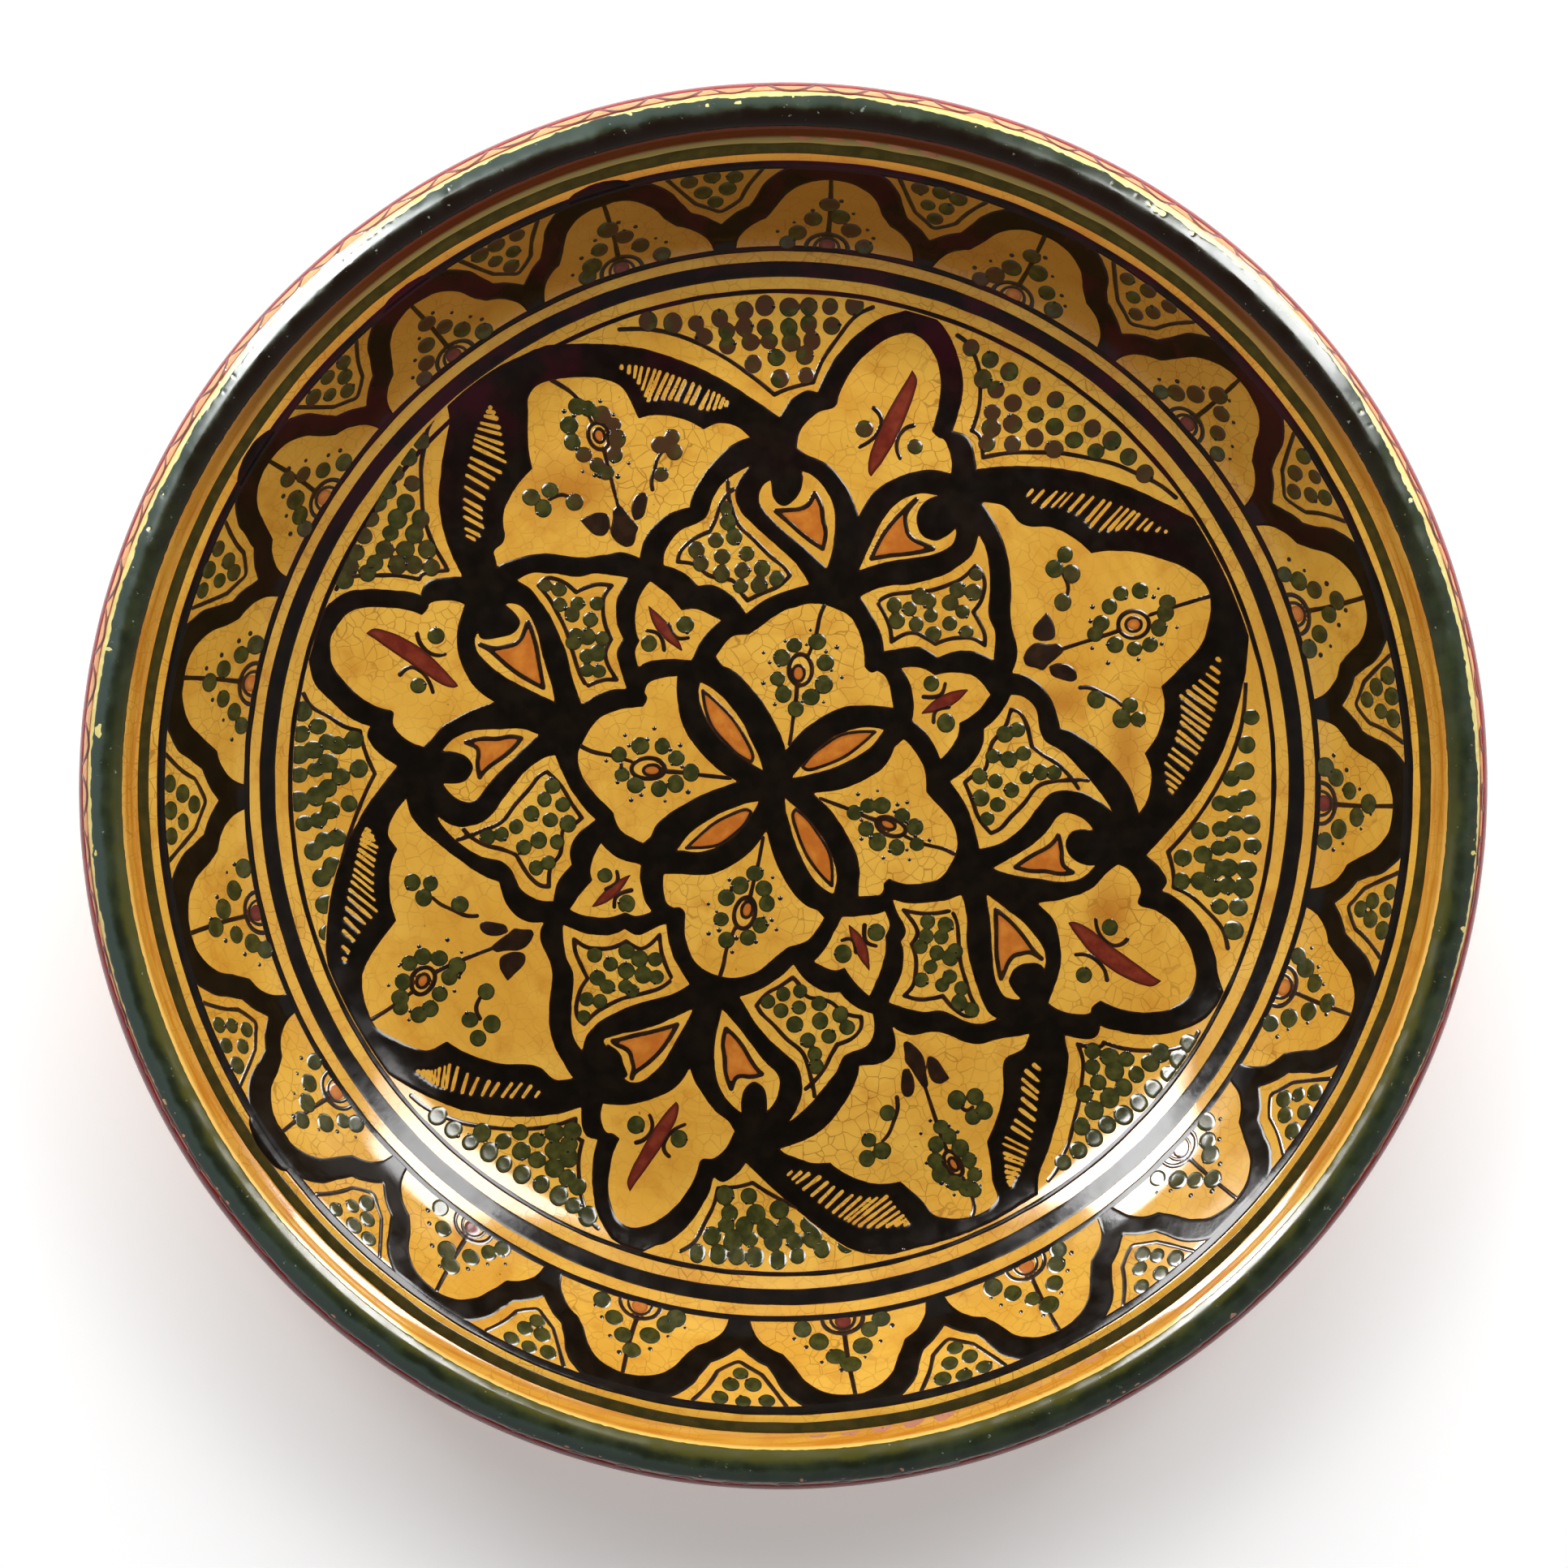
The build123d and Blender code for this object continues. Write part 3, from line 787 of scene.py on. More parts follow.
# Azimuths of the scallops' peaks, in degrees, and those with a dark red heart.
peaks = [
    18.9, 42.3, 65.3, 85.7, 107.5, 127.3, 147.5, 168.6, 193.0, 213.8, 234.4, 254.2, 276.1, 296.7,
    317.5, 338.2,
    358.4]
red_hearts = {42.3, 85.7, 107.5, 127.3, 193.0, 234.4, 276.1, 317.5, 358.4}
tall_peaks = {107.5: 157.0, 147.5: 157.0, 213.8: 157.8, 127.3: 156.2}

# Outlines as (share of the way to the gap beside the peak, plan radius); left of the peak is positive.
scallop = [
    (0.88, 136.6, 1), (0.83, 139.4), (0.72, 141.6), (0.59, 142.9, 1), (0.50, 145.4), (0.40, 148.4),
    (0.24, 150.6), (0.04, 151.5), (-0.22, 150.8), (-0.40, 148.4), (-0.50, 145.4), (-0.59, 143.3, 1),
    (-0.73, 142.0), (-0.85, 139.6), (-0.91, 136.6, 1)]
gap_cell = [
    (0.0, 142.4, 1), (0.14, 144.6), (0.26, 145.9, 1), (0.33, 148.2), (0.40, 150.8), (0.52, 153.0),
    (0.68, 155.2, 1), (-0.68, 155.2, 1), (-0.52, 153.0), (-0.40, 150.8), (-0.33, 148.2),
    (-0.26, 145.9, 1),
    (-0.14, 144.6)]
gap_line = [
    (0.42, 153.5), (0.31, 150.2), (0.21, 147.5, 1), (0.08, 146.0), (0.0, 145.2), (-0.09, 146.0),
    (-0.19, 147.4, 1), (-0.26, 150.2), (-0.38, 153.5)]
scallop_dabs = [
    (0.38, 137.9), (0.27, 140.1), (0.16, 142.8), (0.03, 146.4), (-0.10, 144.0), (-0.24, 141.0),
    (-0.39, 138.2)]
scallop_specks = [
    (0.49, 139.8), (0.34, 142.3), (0.18, 145.0), (-0.08, 147.4), (-0.23, 145.0), (-0.38, 142.1),
    (-0.47, 140.2)]
gap_dabs = [(0.24, 152.4), (0.05, 152.6), (-0.15, 152.4), (0.13, 149.7), (-0.07, 149.8), (0.02, 147.4)]


def on_wall(middle, left, right):
    """Turns (share, radius) points into canvas points. Shares of 1 and -1 reach left and right."""
    def move(points):
        p = np.asarray(points, float)
        reach = np.where(p[:, 0] > 0, left - middle, middle - right)
        return np.stack([-(middle + p[:, 0] * reach) * per_degree, skin.inside_radius(p[:, 1])], axis=1)
    return move


def draw_scallop(layer, move, heart_layer):
    """One scallop's bare cell, its heart with two half rings, its spine, dabs and specks."""
    tip = dabs.uniform(-0.5, 0.5)
    stretched = [(s, r + tip * max(0.0, (r - 143) / 8.5), *c) for s, r, *c in scallop]
    wall.fill(layer["windows"], path_on(move, stretched))
    heart = move([(0.0, 136.7)])[0]
    apex = move([(dabs.uniform(-0.03, 0.05), 151.9)])[0]
    spine = [heart + (0, 4.4), (heart + apex) / 2 + (0.3, 0), apex]
    wall.stroke(layer["lines"], curve(spine), 1.4, 1.15)
    wall.stroke(layer["lines"], ellipse(heart, 5.6, 4.6, 0, 180), 1.3)
    wall.stroke(layer["lines"], ellipse(heart, 3.3, 3.4, 0, 180), 1.0)
    wall.fill(heart_layer, ellipse(heart + (0, 1.0), 2.3, 2.1))
    for middle in move(scallop_dabs):
        dab_of_green(wall, layer, middle + dabs.uniform(-0.5, 0.5, 2), 2.55)
    for middle in move(scallop_specks):
        wall.dot(layer["specks"], middle + dabs.uniform(-0.6, 0.6, 2), dabs.uniform(0.5, 0.75))


def draw_gap(layer, move):
    """The bare cell between two scallops, its line and its dabs."""
    wall.fill(layer["windows"], path_on(move, gap_cell))
    wall.stroke(layer["lines"], path_on(move, gap_line, closed=False), 1.2)
    for middle in move(gap_dabs):
        dab_of_green(wall, layer, middle + dabs.uniform(-0.45, 0.45, 2), 2.15)


def draw_wall():
    """Every layer of the garland's paint, by colour."""
    layer = blank_layers(wall, "windows", "tops", "lines", "orange", "red", "green", "specks")
    count = len(peaks)
    for i, peak in enumerate(peaks):
        before = peaks[i - 1] - (360 if i == 0 else 0)
        after = peaks[(i + 1) % count] + (360 if i == count - 1 else 0)
        gap, next_half = (peak + after) / 2, (after - peak) / 2
        heart_layer = layer["red" if peak in red_hearts else "orange"]
        draw_scallop(layer, on_wall(peak, gap, (peak + before) / 2), heart_layer)
        draw_gap(layer, on_wall(gap, gap + next_half, gap - next_half))
        if peak in tall_peaks:
            high = skin.inside_radius(tall_peaks[peak])
            base = skin.inside_radius(153.8)
            wall.fill(layer["tops"], ellipse((-peak * per_degree, base), 8.5, high - base))
    x, along = wall.grid()
    shiver = 0.14 * noise(x, along, 3.4, 31, around_wall) + 0.06 * noise(x, along, 1.4, 32, around_wall)
    low, high = skin.inside_radius(136.2), skin.inside_radius(154.2)
    band = np.maximum(low - along, along - high)
    black = np.maximum(band, -(layer["windows"] - shiver))
    layer["black"] = np.minimum(black, layer["tops"] + shiver)
    for name in ("lines", "orange", "red", "green", "specks"):
        layer[name] = np.maximum(layer[name] + 0.5 * shiver, low - 0.4 - along)
    return layer


def path_on(move, points, closed=True):
    """A curve drawn in shares and radii, carried to the canvas before it is smoothed."""
    moved = move([p[:2] for p in points])
    return path([(*xy, *p[2:]) for xy, p in zip(moved, points)], closed=closed)


def ring(inner, outer, seed, waver=0.18):
    """A ring turned with the brush, between two radii."""
    x, along = wall.grid()
    low, high = skin.inside_radius(inner), skin.inside_radius(outer)
    swing = waver * noise(x, 0 * x, 70.0, seed, around_wall)
    low = low + swing + 0.10 * noise(x, 0 * x, 7.0, seed + 1, around_wall)
    high = high + swing + 0.10 * noise(x, 0 * x, 7.0, seed + 2, around_wall)
    return np.clip(np.maximum(low - along, along - high), -BAND, BAND)


# ---- The collar ---------------------------------------------------------------------------
collar_radius = 170.0
around_collar = 2 * pi * collar_radius
green_start, green_stop = skin.inside_radius(163.0), skin.inside_radius(171.0)
red_start, under_stop = skin.outside(height=50.4), skin.outside(radius=169.0)
# How far in from the collar's widest part the red begins, in plan, by azimuth in degrees.
# The red runs further in on the lower side, about 200 to 345 degrees: the coat itself with painted shade
# and reflected red.
red_azimuths = [0, 45, 90, 135, 180, 200, 225, 270, 315, 345, 360]
red_and_shade_widths = [2.8, 2.1, 1.8, 1.6, 1.9, 3.0, 3.4, 2.9, 3.4, 3.2, 2.8]
collar = Canvas(-around_collar, 0, skin.inside_radius(162.6), under_stop, 0.4,
                round_wall(collar_radius), wraps=True)


def draw_scales():
    """Two rows of scales round the collar that bulge towards its crest, blotted where they meet."""
    scales = collar.blank()
    count = 80
    pitch = around_collar / count
    arch = np.array([(-0.5, 4.6), (-0.37, 2.4), (-0.12, 0.3), (0.16, 0.3), (0.36, 2.1), (0.5, 4.6)])
    for row in range(2):
        for i in range(count):
            sway = dabs.uniform(-0.35, 0.35, arch.shape)
            scale = arch * (pitch, 1.0) + sway + (-(i + 0.5 * row) * pitch, green_stop + 0.9 + row * 4.4)
            collar.stroke(scales, curve(scale, 4), dabs.uniform(0.9, 1.3))
            collar.stroke(scales, [scale[0] - (0.9, 0.2), scale[0] + (0.9, 0.3)], dabs.uniform(1.4, 2.4))
    return scales


def draw_collar():
    """Green over the crest, rubbed to a pale edge that on top is also painted highlight; scales and red."""
    x, along = collar.grid()
    azimuth = -x / collar_radius
    # The pale edge shows widest on the upper side, where the green recedes: partly wear, partly a painted
    # highlight where the rim faces the light.
    wear_and_highlight = np.clip(0.5 + 1.6 * np.sin(azimuth), 0, 1)
    low_side = np.clip(-1.6 * np.sin(azimuth) - 0.35, 0, 1)
    ragged = noise(x, along, 9.0, 41, around_collar) + 0.6 * noise(x, along, 2.6, 42, around_collar)
    fine = noise(x, along, 1.1, 43, around_collar)
    soft = 0.35 * noise(x, 0 * x, 40.0, 44, around_collar)
    thin = np.clip(noise(x, 0 * x, 55.0, 46, around_collar) - 0.25, 0, 1) * wear_and_highlight
    green_edge = green_stop + soft + 1.2 * thin - 1.1 * wear_and_highlight + 0.9 * low_side
    green_edge += (0.2 + 0.3 * wear_and_highlight) * ragged + 0.25 * fine
    green = np.maximum(green_start + 0.3 * soft + 0.12 * fine - along, along - green_edge)
    off_edge = np.abs(green_edge - along - 1.0)
    chips = 0.95 - noise(x, along, 2.1, 45, around_collar) - 0.5 * fine + 0.22 * off_edge
    green = np.maximum(green, -chips * 1.3)
    pale_stop = green_stop + 0.45 + soft - 0.3 * low_side
    pale = np.maximum(green_start + 3.0 - along, along - pale_stop - 0.1 * fine)
    border = np.abs(along - pale_stop - 0.35) - 0.28 - 0.12 * ragged
    scales = np.minimum(draw_scales(), border)
    # Wider on the lower side as painted shade and reflected red.
    width = np.interp(np.degrees(azimuth) % 360, red_azimuths, red_and_shade_widths)
    red_top = skin.inside_radius(skin.points[:, 0].max() - width) + 0.25 * ragged
    red = np.maximum(red_top - along, along - under_stop + 0.5)
    scales = np.maximum(scales, along - red_top - 0.6)
    layers = {"green": green, "pale": pale, "scales": scales, "red": red}
    return {name: np.clip(field, -BAND, BAND) for name, field in layers.items()}


# ---- Turned coats -------------------------------------------------------------------------
def turned(name, start, stop, spacing, material, slot, *nodes):
    """A closed turned coat of glaze from one distance along the section to another."""
    count = 4 * int(np.ceil((stop - start) / spacing / 4))
    outer = np.linspace(start, stop, count + 1)
    inner = outer[::-4]
    azimuth = np.radians(np.arange(0, 360, 1.0))
    segments = len(azimuth)
    rings, thickness = np.concatenate([outer, inner]), 0.45     # a little less than the CAD coat
    lifts = np.concatenate([np.zeros(len(outer)), np.full(len(inner), -thickness)])
    points = np.concatenate([lifted(azimuth, np.full(segments, s), lift) for s, lift in zip(rings, lifts)])
    number = np.arange(len(points)).reshape(len(rings), segments)
    for k, along in enumerate(rings):
        if skin.at(along)[0] < 1e-3:
            number[k] = number[k, 0]
    this, after = number, np.roll(number, -1, axis=0)
    corners = [this, after, np.roll(after, -1, axis=1), np.roll(this, -1, axis=1)]
    quads = np.stack(corners, axis=2).reshape(-1, 4)
    collapsed_low, collapsed_high = quads[:, 0] == quads[:, 3], quads[:, 1] == quads[:, 2]
    fan_out, fan_in = quads[collapsed_low & ~collapsed_high], quads[collapsed_high & ~collapsed_low]
    triangles = np.concatenate([fan_out[:, :3], fan_in[:, [0, 1, 3]]])
    quads = quads[~collapsed_low & ~collapsed_high]
    used = np.unique(np.concatenate([quads.ravel(), triangles.ravel()]))
    renamed = np.zeros(len(points), int)
    renamed[used] = np.arange(len(used))
    groups = [renamed[g] for g in (quads, triangles) if len(g)]
    piece = make_mesh(name, points[used], groups)
    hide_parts(*nodes)
    return finished(piece, material, slot)


# ---- Materials ----------------------------------------------------------------------------
def colour(red, green, blue):
    """A colour as seen on a screen, 0 to 255, in the linear values that shaders use."""
    values = [v / 255 for v in (red, green, blue)]
    return (*[v / 12.92 if v <= 0.04045 else ((v + 0.055) / 1.055) ** 2.4 for v in values], 1.0)


class Finish:
    """A material made of nodes around one principled shader."""

    def __init__(self, name, roughness, gloss=0.5):
        self.material = bpy.data.materials.new(name)
        self.material.use_nodes = True
        self.tree = self.material.node_tree
        self.shader = self.tree.nodes["Principled BSDF"]
        self.shader.inputs["Roughness"].default_value = roughness
        self.shader.inputs["Specular IOR Level"].default_value = gloss
        self.place = self.node("ShaderNodeTexCoord").outputs["Object"]

    def node(self, kind, inputs=None, **settings):
        node = self.tree.nodes.new(kind)
        for key, value in settings.items():
            setattr(node, key, value)
        for key, value in (inputs or {}).items():
            if isinstance(value, bpy.types.NodeSocket):
                self.tree.links.new(value, node.inputs[key])
            else:
                node.inputs[key].default_value = value
        return node

    def noise(self, millimetres, detail=3.0, vector=None):
        """Noise from 0 to 1 with features about that large."""
        inputs = {"Vector": vector or self.place, "Scale": 1000.0 / millimetres, "Detail": detail,
                  "Roughness": 0.55}
        return self.node("ShaderNodeTexNoise", inputs).outputs["Fac"]

    def math(self, operation, a, b=0.0):
        return self.node("ShaderNodeMath", {0: a, 1: b}, operation=operation).outputs[0]

    def times(self, a, b):
        return self.math("MULTIPLY", a, b)

    def ease(self, value, low, high, to_low=0.0, to_high=1.0):
        """A smooth step from to_low, where the value is low, to to_high, where it is high."""
        inputs = {"Value": value, "From Min": low, "From Max": high, "To Min": to_low, "To Max": to_high}
        return self.node("ShaderNodeMapRange", inputs, interpolation_type="SMOOTHSTEP").outputs[0]

    def mix(self, share, a, b):
        """The colour a where the share is 0, and b where it is 1."""
        return self.node("ShaderNodeMix", {0: share, 6: a, 7: b}, data_type="RGBA").outputs[2]

    def axis(self, name):
        """A coordinate in millimetres."""
        split = self.node("ShaderNodeSeparateXYZ", {"Vector": self.place})
        return self.times(split.outputs[name], 1000.0)

    def radius(self):
        split = self.node("ShaderNodeSeparateXYZ", {"Vector": self.place})
        square = self.math("ADD", self.math("POWER", split.outputs["X"], 2.0),
                           self.math("POWER", split.outputs["Y"], 2.0))
        return self.times(self.math("SQRT", square), 1000.0)

    def streaks(self, millimetres):
        """Noise drawn out round the plate, as a turning brush leaves it."""
        split = self.node("ShaderNodeSeparateXYZ", {"Vector": self.place})
        metres = self.times(self.radius(), 0.001)
        squeezed = [self.times(split.outputs[k], 0.06) for k in "XY"]
        height = self.times(split.outputs["Z"], 0.8)
        vector = self.node("ShaderNodeCombineXYZ", {
            "X": self.math("ADD", squeezed[0], metres), "Y": squeezed[1], "Z": height}).outputs[0]
        return self.noise(millimetres, 2.0, vector)

    def stain(self, x, y, wide, tall):
        """From 1 at a place on the plate to 0 beyond an ellipse round it, in millimetres."""
        dx = self.math("DIVIDE", self.math("SUBTRACT", self.axis("X"), x), wide)
        dy = self.math("DIVIDE", self.math("SUBTRACT", self.axis("Y"), y), tall)
        far = self.math("SQRT", self.math("ADD", self.math("POWER", dx, 2.0), self.math("POWER", dy, 2.0)))
        return self.ease(self.math("ADD", far, self.times(self.noise(8.0), 0.5)), 1.25, 0.25)

    def edge(self):
        """Distance to the painted edge in millimetres."""
        return self.node("ShaderNodeAttribute", attribute_name="edge").outputs["Fac"]

    def crackle(self, millimetres):
        """1 in the fine cracks of the glaze."""
        bent = self.node("ShaderNodeVectorMath", {0: self.place}, operation="ADD")
        warp = self.node("ShaderNodeTexNoise", {"Vector": self.place, "Scale": 120.0, "Detail": 2.0})
        colour_shift = {0: warp.outputs["Color"], "Scale": 0.004}
        small = self.node("ShaderNodeVectorMath", colour_shift, operation="SCALE")
        self.tree.links.new(small.outputs[0], bent.inputs[1])
        inputs = {"Vector": bent.outputs[0], "Scale": 1000.0 / millimetres}
        cells = self.node("ShaderNodeTexVoronoi", inputs, feature="DISTANCE_TO_EDGE")
        return self.ease(cells.outputs["Distance"], 0.045, 0.01)

    def bumps(self, *heights):
        """Bump from (height socket, strength, depth in millimetres) layers."""
        normal = None
        for height, strength, depth in heights:
            inputs = {"Height": height, "Strength": strength, "Distance": depth * METRE}
            if normal:
                inputs["Normal"] = normal
            normal = self.node("ShaderNodeBump", inputs).outputs[0]
        self.tree.links.new(normal, self.shader.inputs["Normal"])

    def base(self, value):
        self.tree.links.new(value, self.shader.inputs["Base Color"])
        return self.material

    def shine(self, value):
        self.tree.links.new(value, self.shader.inputs["Roughness"])


def glaze_finish(name, deep, mid, bright, cracks, streak):
    """Lead glaze over slip: cloudy, streaked by the brush, finely cracked, with pinholes."""
    f = Finish(name, 0.1)
    clouds = f.mix(f.ease(f.noise(26.0), 0.32, 0.68), mid, bright)
    clouds = f.mix(f.ease(f.noise(9.0), 0.50, 0.78, 0.0, 0.6), clouds, deep)
    clouds = f.mix(f.ease(f.streaks(2.4), 0.45, 0.75, 0.0, streak), clouds, deep)
    lines = f.times(f.crackle(3.4), f.ease(f.noise(30.0), 0.35, 0.7, 0.1, cracks))
    clouds = f.mix(lines, clouds, colour(128, 78, 22))
    dust = f.ease(f.noise(1.6, 1.0), 0.76, 0.83, 0.0, 0.55)
    clouds = f.mix(dust, clouds, colour(70, 38, 14))
    f.shine(f.ease(f.noise(20.0), 0.3, 0.7, 0.07, 0.16))
    f.bumps((f.noise(14.0, 1.0), 0.5, 0.16), (f.noise(3.0), 0.35, 0.03), (lines, 0.25, -0.02))
    return f, clouds


def amber_glaze():
    f, tone = glaze_finish("amber_glaze", colour(184, 118, 34), colour(205, 151, 54), colour(217, 168, 68),
                           0.62, 0.2)
    for x, y, wide, tall in ((88, 8, 8, 26), (84, -34, 9, 16), (-56, 76, 22, 12), (70, 22, 16, 8)):
        tone = f.mix(f.times(f.stain(x, y, wide, tall), 0.7), tone, colour(166, 100, 30))
    radius = f.radius()
    # Darker on the wall towards the top of the plate: painted shade, where the upper wall faces away from
    # the light.
    wall = f.ease(radius, 134.0, 139.0)
    upper = f.ease(f.axis("Y"), 40.0, 140.0)
    tone = f.mix(f.times(wall, f.times(upper, 0.6)), tone, colour(166, 100, 38))
    groove = f.times(f.ease(radius, 159.0, 160.2), f.ease(f.streaks(1.0), 0.4, 0.7, 0.35, 0.95))
    tone = f.mix(groove, tone, colour(186, 116, 28))
    # On the top side the ledge is drawn greyer and the groove red-brown: the red-brown is painted shade
    # cast by the collar.
    at_top = f.ease(f.axis("Y"), 70.0, 135.0)
    tone = f.mix(f.times(f.ease(radius, 158.6, 159.4), at_top), tone, colour(150, 128, 70))
    tone = f.mix(f.times(f.ease(radius, 160.6, 161.4), at_top), tone, colour(104, 38, 16))
    # A bright edge just inside the collar on the lower side: a painted highlight.
    bright = f.times(f.ease(radius, 162.2, 162.8), f.ease(f.axis("Y"), 30.0, -60.0))
    tone = f.mix(bright, tone, colour(238, 190, 96))
    return f.base(tone)


def peach_glaze():
    f, tone = glaze_finish("peach_glaze", colour(186, 112, 60), colour(208, 142, 82), colour(218, 160, 96),
                           0.3, 0.3)
    # Pinker near the rim on the lower side: painted shade with reflected red.
    shaded_low_rim = f.times(f.ease(f.radius(), 165.0, 168.0), f.ease(f.axis("Y"), -20.0, -80.0))
    return f.base(f.mix(shaded_low_rim, tone, colour(172, 120, 94)))


def brushed(name, dark, light, fringe, fringe_width, size=5.0, roughness=0.12, gloss=0.5):
    """A painted colour: brush-streaked, and thinner and warmer along its edge."""
    f = Finish(name, roughness, gloss)
    tone = f.mix(f.ease(f.noise(size), 0.35, 0.7), dark, light)
    width = f.ease(f.noise(4.0), 0.2, 0.8, 0.4 * fringe_width, 1.6 * fringe_width)
    share = f.math("SUBTRACT", 1.0, f.math("DIVIDE", f.edge(), width))
    tone = f.mix(f.node("ShaderNodeClamp", {"Value": share}).outputs[0], tone, fringe)
    f.shine(f.ease(f.noise(7.0), 0.3, 0.7, roughness * 0.7, roughness * 1.5))
    f.bumps((f.noise(14.0, 1.0), 0.5, 0.16), (f.noise(2.0), 0.4, 0.035))
    return f, tone


def black_paint():
    tones = colour(14, 10, 6), colour(24, 17, 10), colour(44, 20, 10)
    f, tone = brushed("black_paint", *tones, 0.5, gloss=0.25)
    # Maroon patches on the black towards the top, strongest out on the wall: a painted reflection of red
    # surroundings.
    upper = f.times(f.ease(f.axis("Y"), 35.0, 110.0), f.ease(f.noise(18.0), 0.42, 0.60, 0.1, 1.0))
    outer = f.ease(f.radius(), 104.0, 127.0, 0.12, 1.0)
    return f.base(f.mix(f.times(upper, outer), tone, colour(50, 12, 20)))


def green_dab():
    tones = colour(46, 48, 18), colour(72, 70, 28), colour(40, 36, 14)
    f, tone = brushed("green_dab", *tones, 0.5, 3.0)
    # Browner patches on the dabs towards the top: painted shade with reflected red.
    upper = f.times(f.ease(f.axis("Y"), 20.0, 110.0), f.ease(f.noise(11.0), 0.44, 0.56))
    return f.base(f.mix(upper, tone, colour(70, 44, 26)))


def rim_green():
    tones = colour(32, 38, 22), colour(52, 60, 38), colour(60, 54, 22)
    f, tone = brushed("rim_green", *tones, 1.0, 9.0, 0.16)
    radius = f.radius()
    inner = f.math("ADD", radius, f.times(f.noise(7.0), 3.0))
    # Bluish grey over the outer part of the green, stronger to the left: a painted reflection.
    painted_sheen = f.times(f.ease(inner, 168.6, 170.2), f.ease(f.axis("X"), 60.0, -90.0, 0.25, 0.8))
    tone = f.mix(painted_sheen, tone, colour(66, 80, 74))
    olive = f.times(f.ease(inner, 168.0, 166.0), f.ease(f.axis("Y"), 60.0, -60.0))
    tone = f.mix(olive, tone, colour(78, 76, 30))
    # Near black over the inner part on the upper side: painted shade on a browner green.
    dark = f.times(f.ease(inner, 169.5, 168.0), f.ease(f.axis("Y"), 20.0, 110.0))
    tone = f.mix(dark, tone, colour(26, 16, 9))
    specks = f.ease(f.noise(1.5, 2.0), 0.70, 0.76, 0.0, 0.7)
    tone = f.mix(specks, tone, colour(140, 146, 128))
    return f.base(tone)


def simple(name, *tones, width=0.5, gloss=0.5):
    f, tone = brushed(name, *tones, width, 4.0, gloss=gloss)
    return f.base(tone)


# The pale edge: partly wear through the green, partly a painted highlight on the upper side.
def pale_wear_and_highlight():
    tones = colour(216, 200, 120), colour(226, 214, 138), colour(204, 160, 96)
    f, tone = brushed("wear_and_highlight_edge", *tones, 0.4, 3.0, 0.3)
    # Pinker on the lower side: painted shade with reflected red.
    lower = f.ease(f.axis("Y"), -30.0, -110.0)
    return f.base(f.mix(lower, tone, colour(196, 140, 116)))


def fired_clay():
    f = Finish("fired_clay", 0.8)
    tone = f.mix(f.ease(f.noise(18.0), 0.3, 0.7), colour(168, 98, 62), colour(190, 120, 80))
    grit = f.noise(1.2, 2.0)
    tone = f.mix(f.ease(grit, 0.62, 0.75), tone, colour(120, 66, 42))
    tone = f.mix(f.ease(f.streaks(1.4), 0.5, 0.7, 0.0, 0.5), tone, colour(150, 84, 54))
    f.bumps((f.streaks(1.1), 0.6, 0.12), (grit, 0.7, 0.08))
    return f.base(tone)


# ---- Pieces -------------------------------------------------------------------------------
amber, peach, black = amber_glaze(), peach_glaze(), black_paint()
green, rim = green_dab(), rim_green()
line_paint = simple("line_paint", colour(30, 18, 10), colour(46, 28, 14), colour(74, 38, 14), width=0.25)
speck_paint = simple("speck_paint", colour(26, 18, 12), colour(36, 24, 14), colour(60, 34, 16), width=0.2)
orange = simple("orange_paint", colour(174, 96, 30), colour(196, 120, 44), colour(140, 68, 20), width=0.9)
dark_red = simple("dark_red_paint", colour(96, 32, 22), colour(122, 50, 30), colour(60, 18, 12), width=0.9)
olive = simple("olive_paint", colour(50, 44, 16), colour(68, 58, 22), colour(58, 44, 14), width=0.8)
red_tones = colour(112, 14, 24), colour(138, 24, 32), colour(150, 40, 38)
red_coat = simple("red_coat", *red_tones, width=1.0, gloss=0.06)
scale_paint = simple("scale_paint", colour(88, 34, 30), colour(112, 50, 40), colour(140, 78, 48), width=0.3)
clay = fired_clay()

turned("glaze_inside", 0.0, green_start + 2.0, 0.9, amber, "amber_glaze", "interior_glaze")
turned("glaze_collar", green_start + 1.0, red_start + 1.5, 0.5, peach, "peach_glaze", "collar_glaze_yellow")
turned("glaze_underside", skin.outside(radius=169.0), skin.outside(radius=91.0), 1.2, peach, "peach_glaze",
       "outer_wall_glaze")
turned("glaze_foot_recess", skin.outside(radius=77.0), skin.along[-1], 2.0, peach, "peach_glaze",
       "foot_recess_glaze")
turned("glaze_chin", red_start + 1.5, skin.outside(radius=169.0), 0.6, red_coat, "dark_red_glaze")

# How far each kind of paint stands proud of the glaze, and the width over which fine work rounds up to it.
BLACK_RELIEF, RING_RELIEF, LINE_RELIEF, FILL_RELIEF, BAR_RELIEF = 0.10, 0.10, 0.08, 0.05, 0.08
DAB_RELIEF, SPECK_RELIEF, FINE_RISE = 0.11, 0.15, 0.4

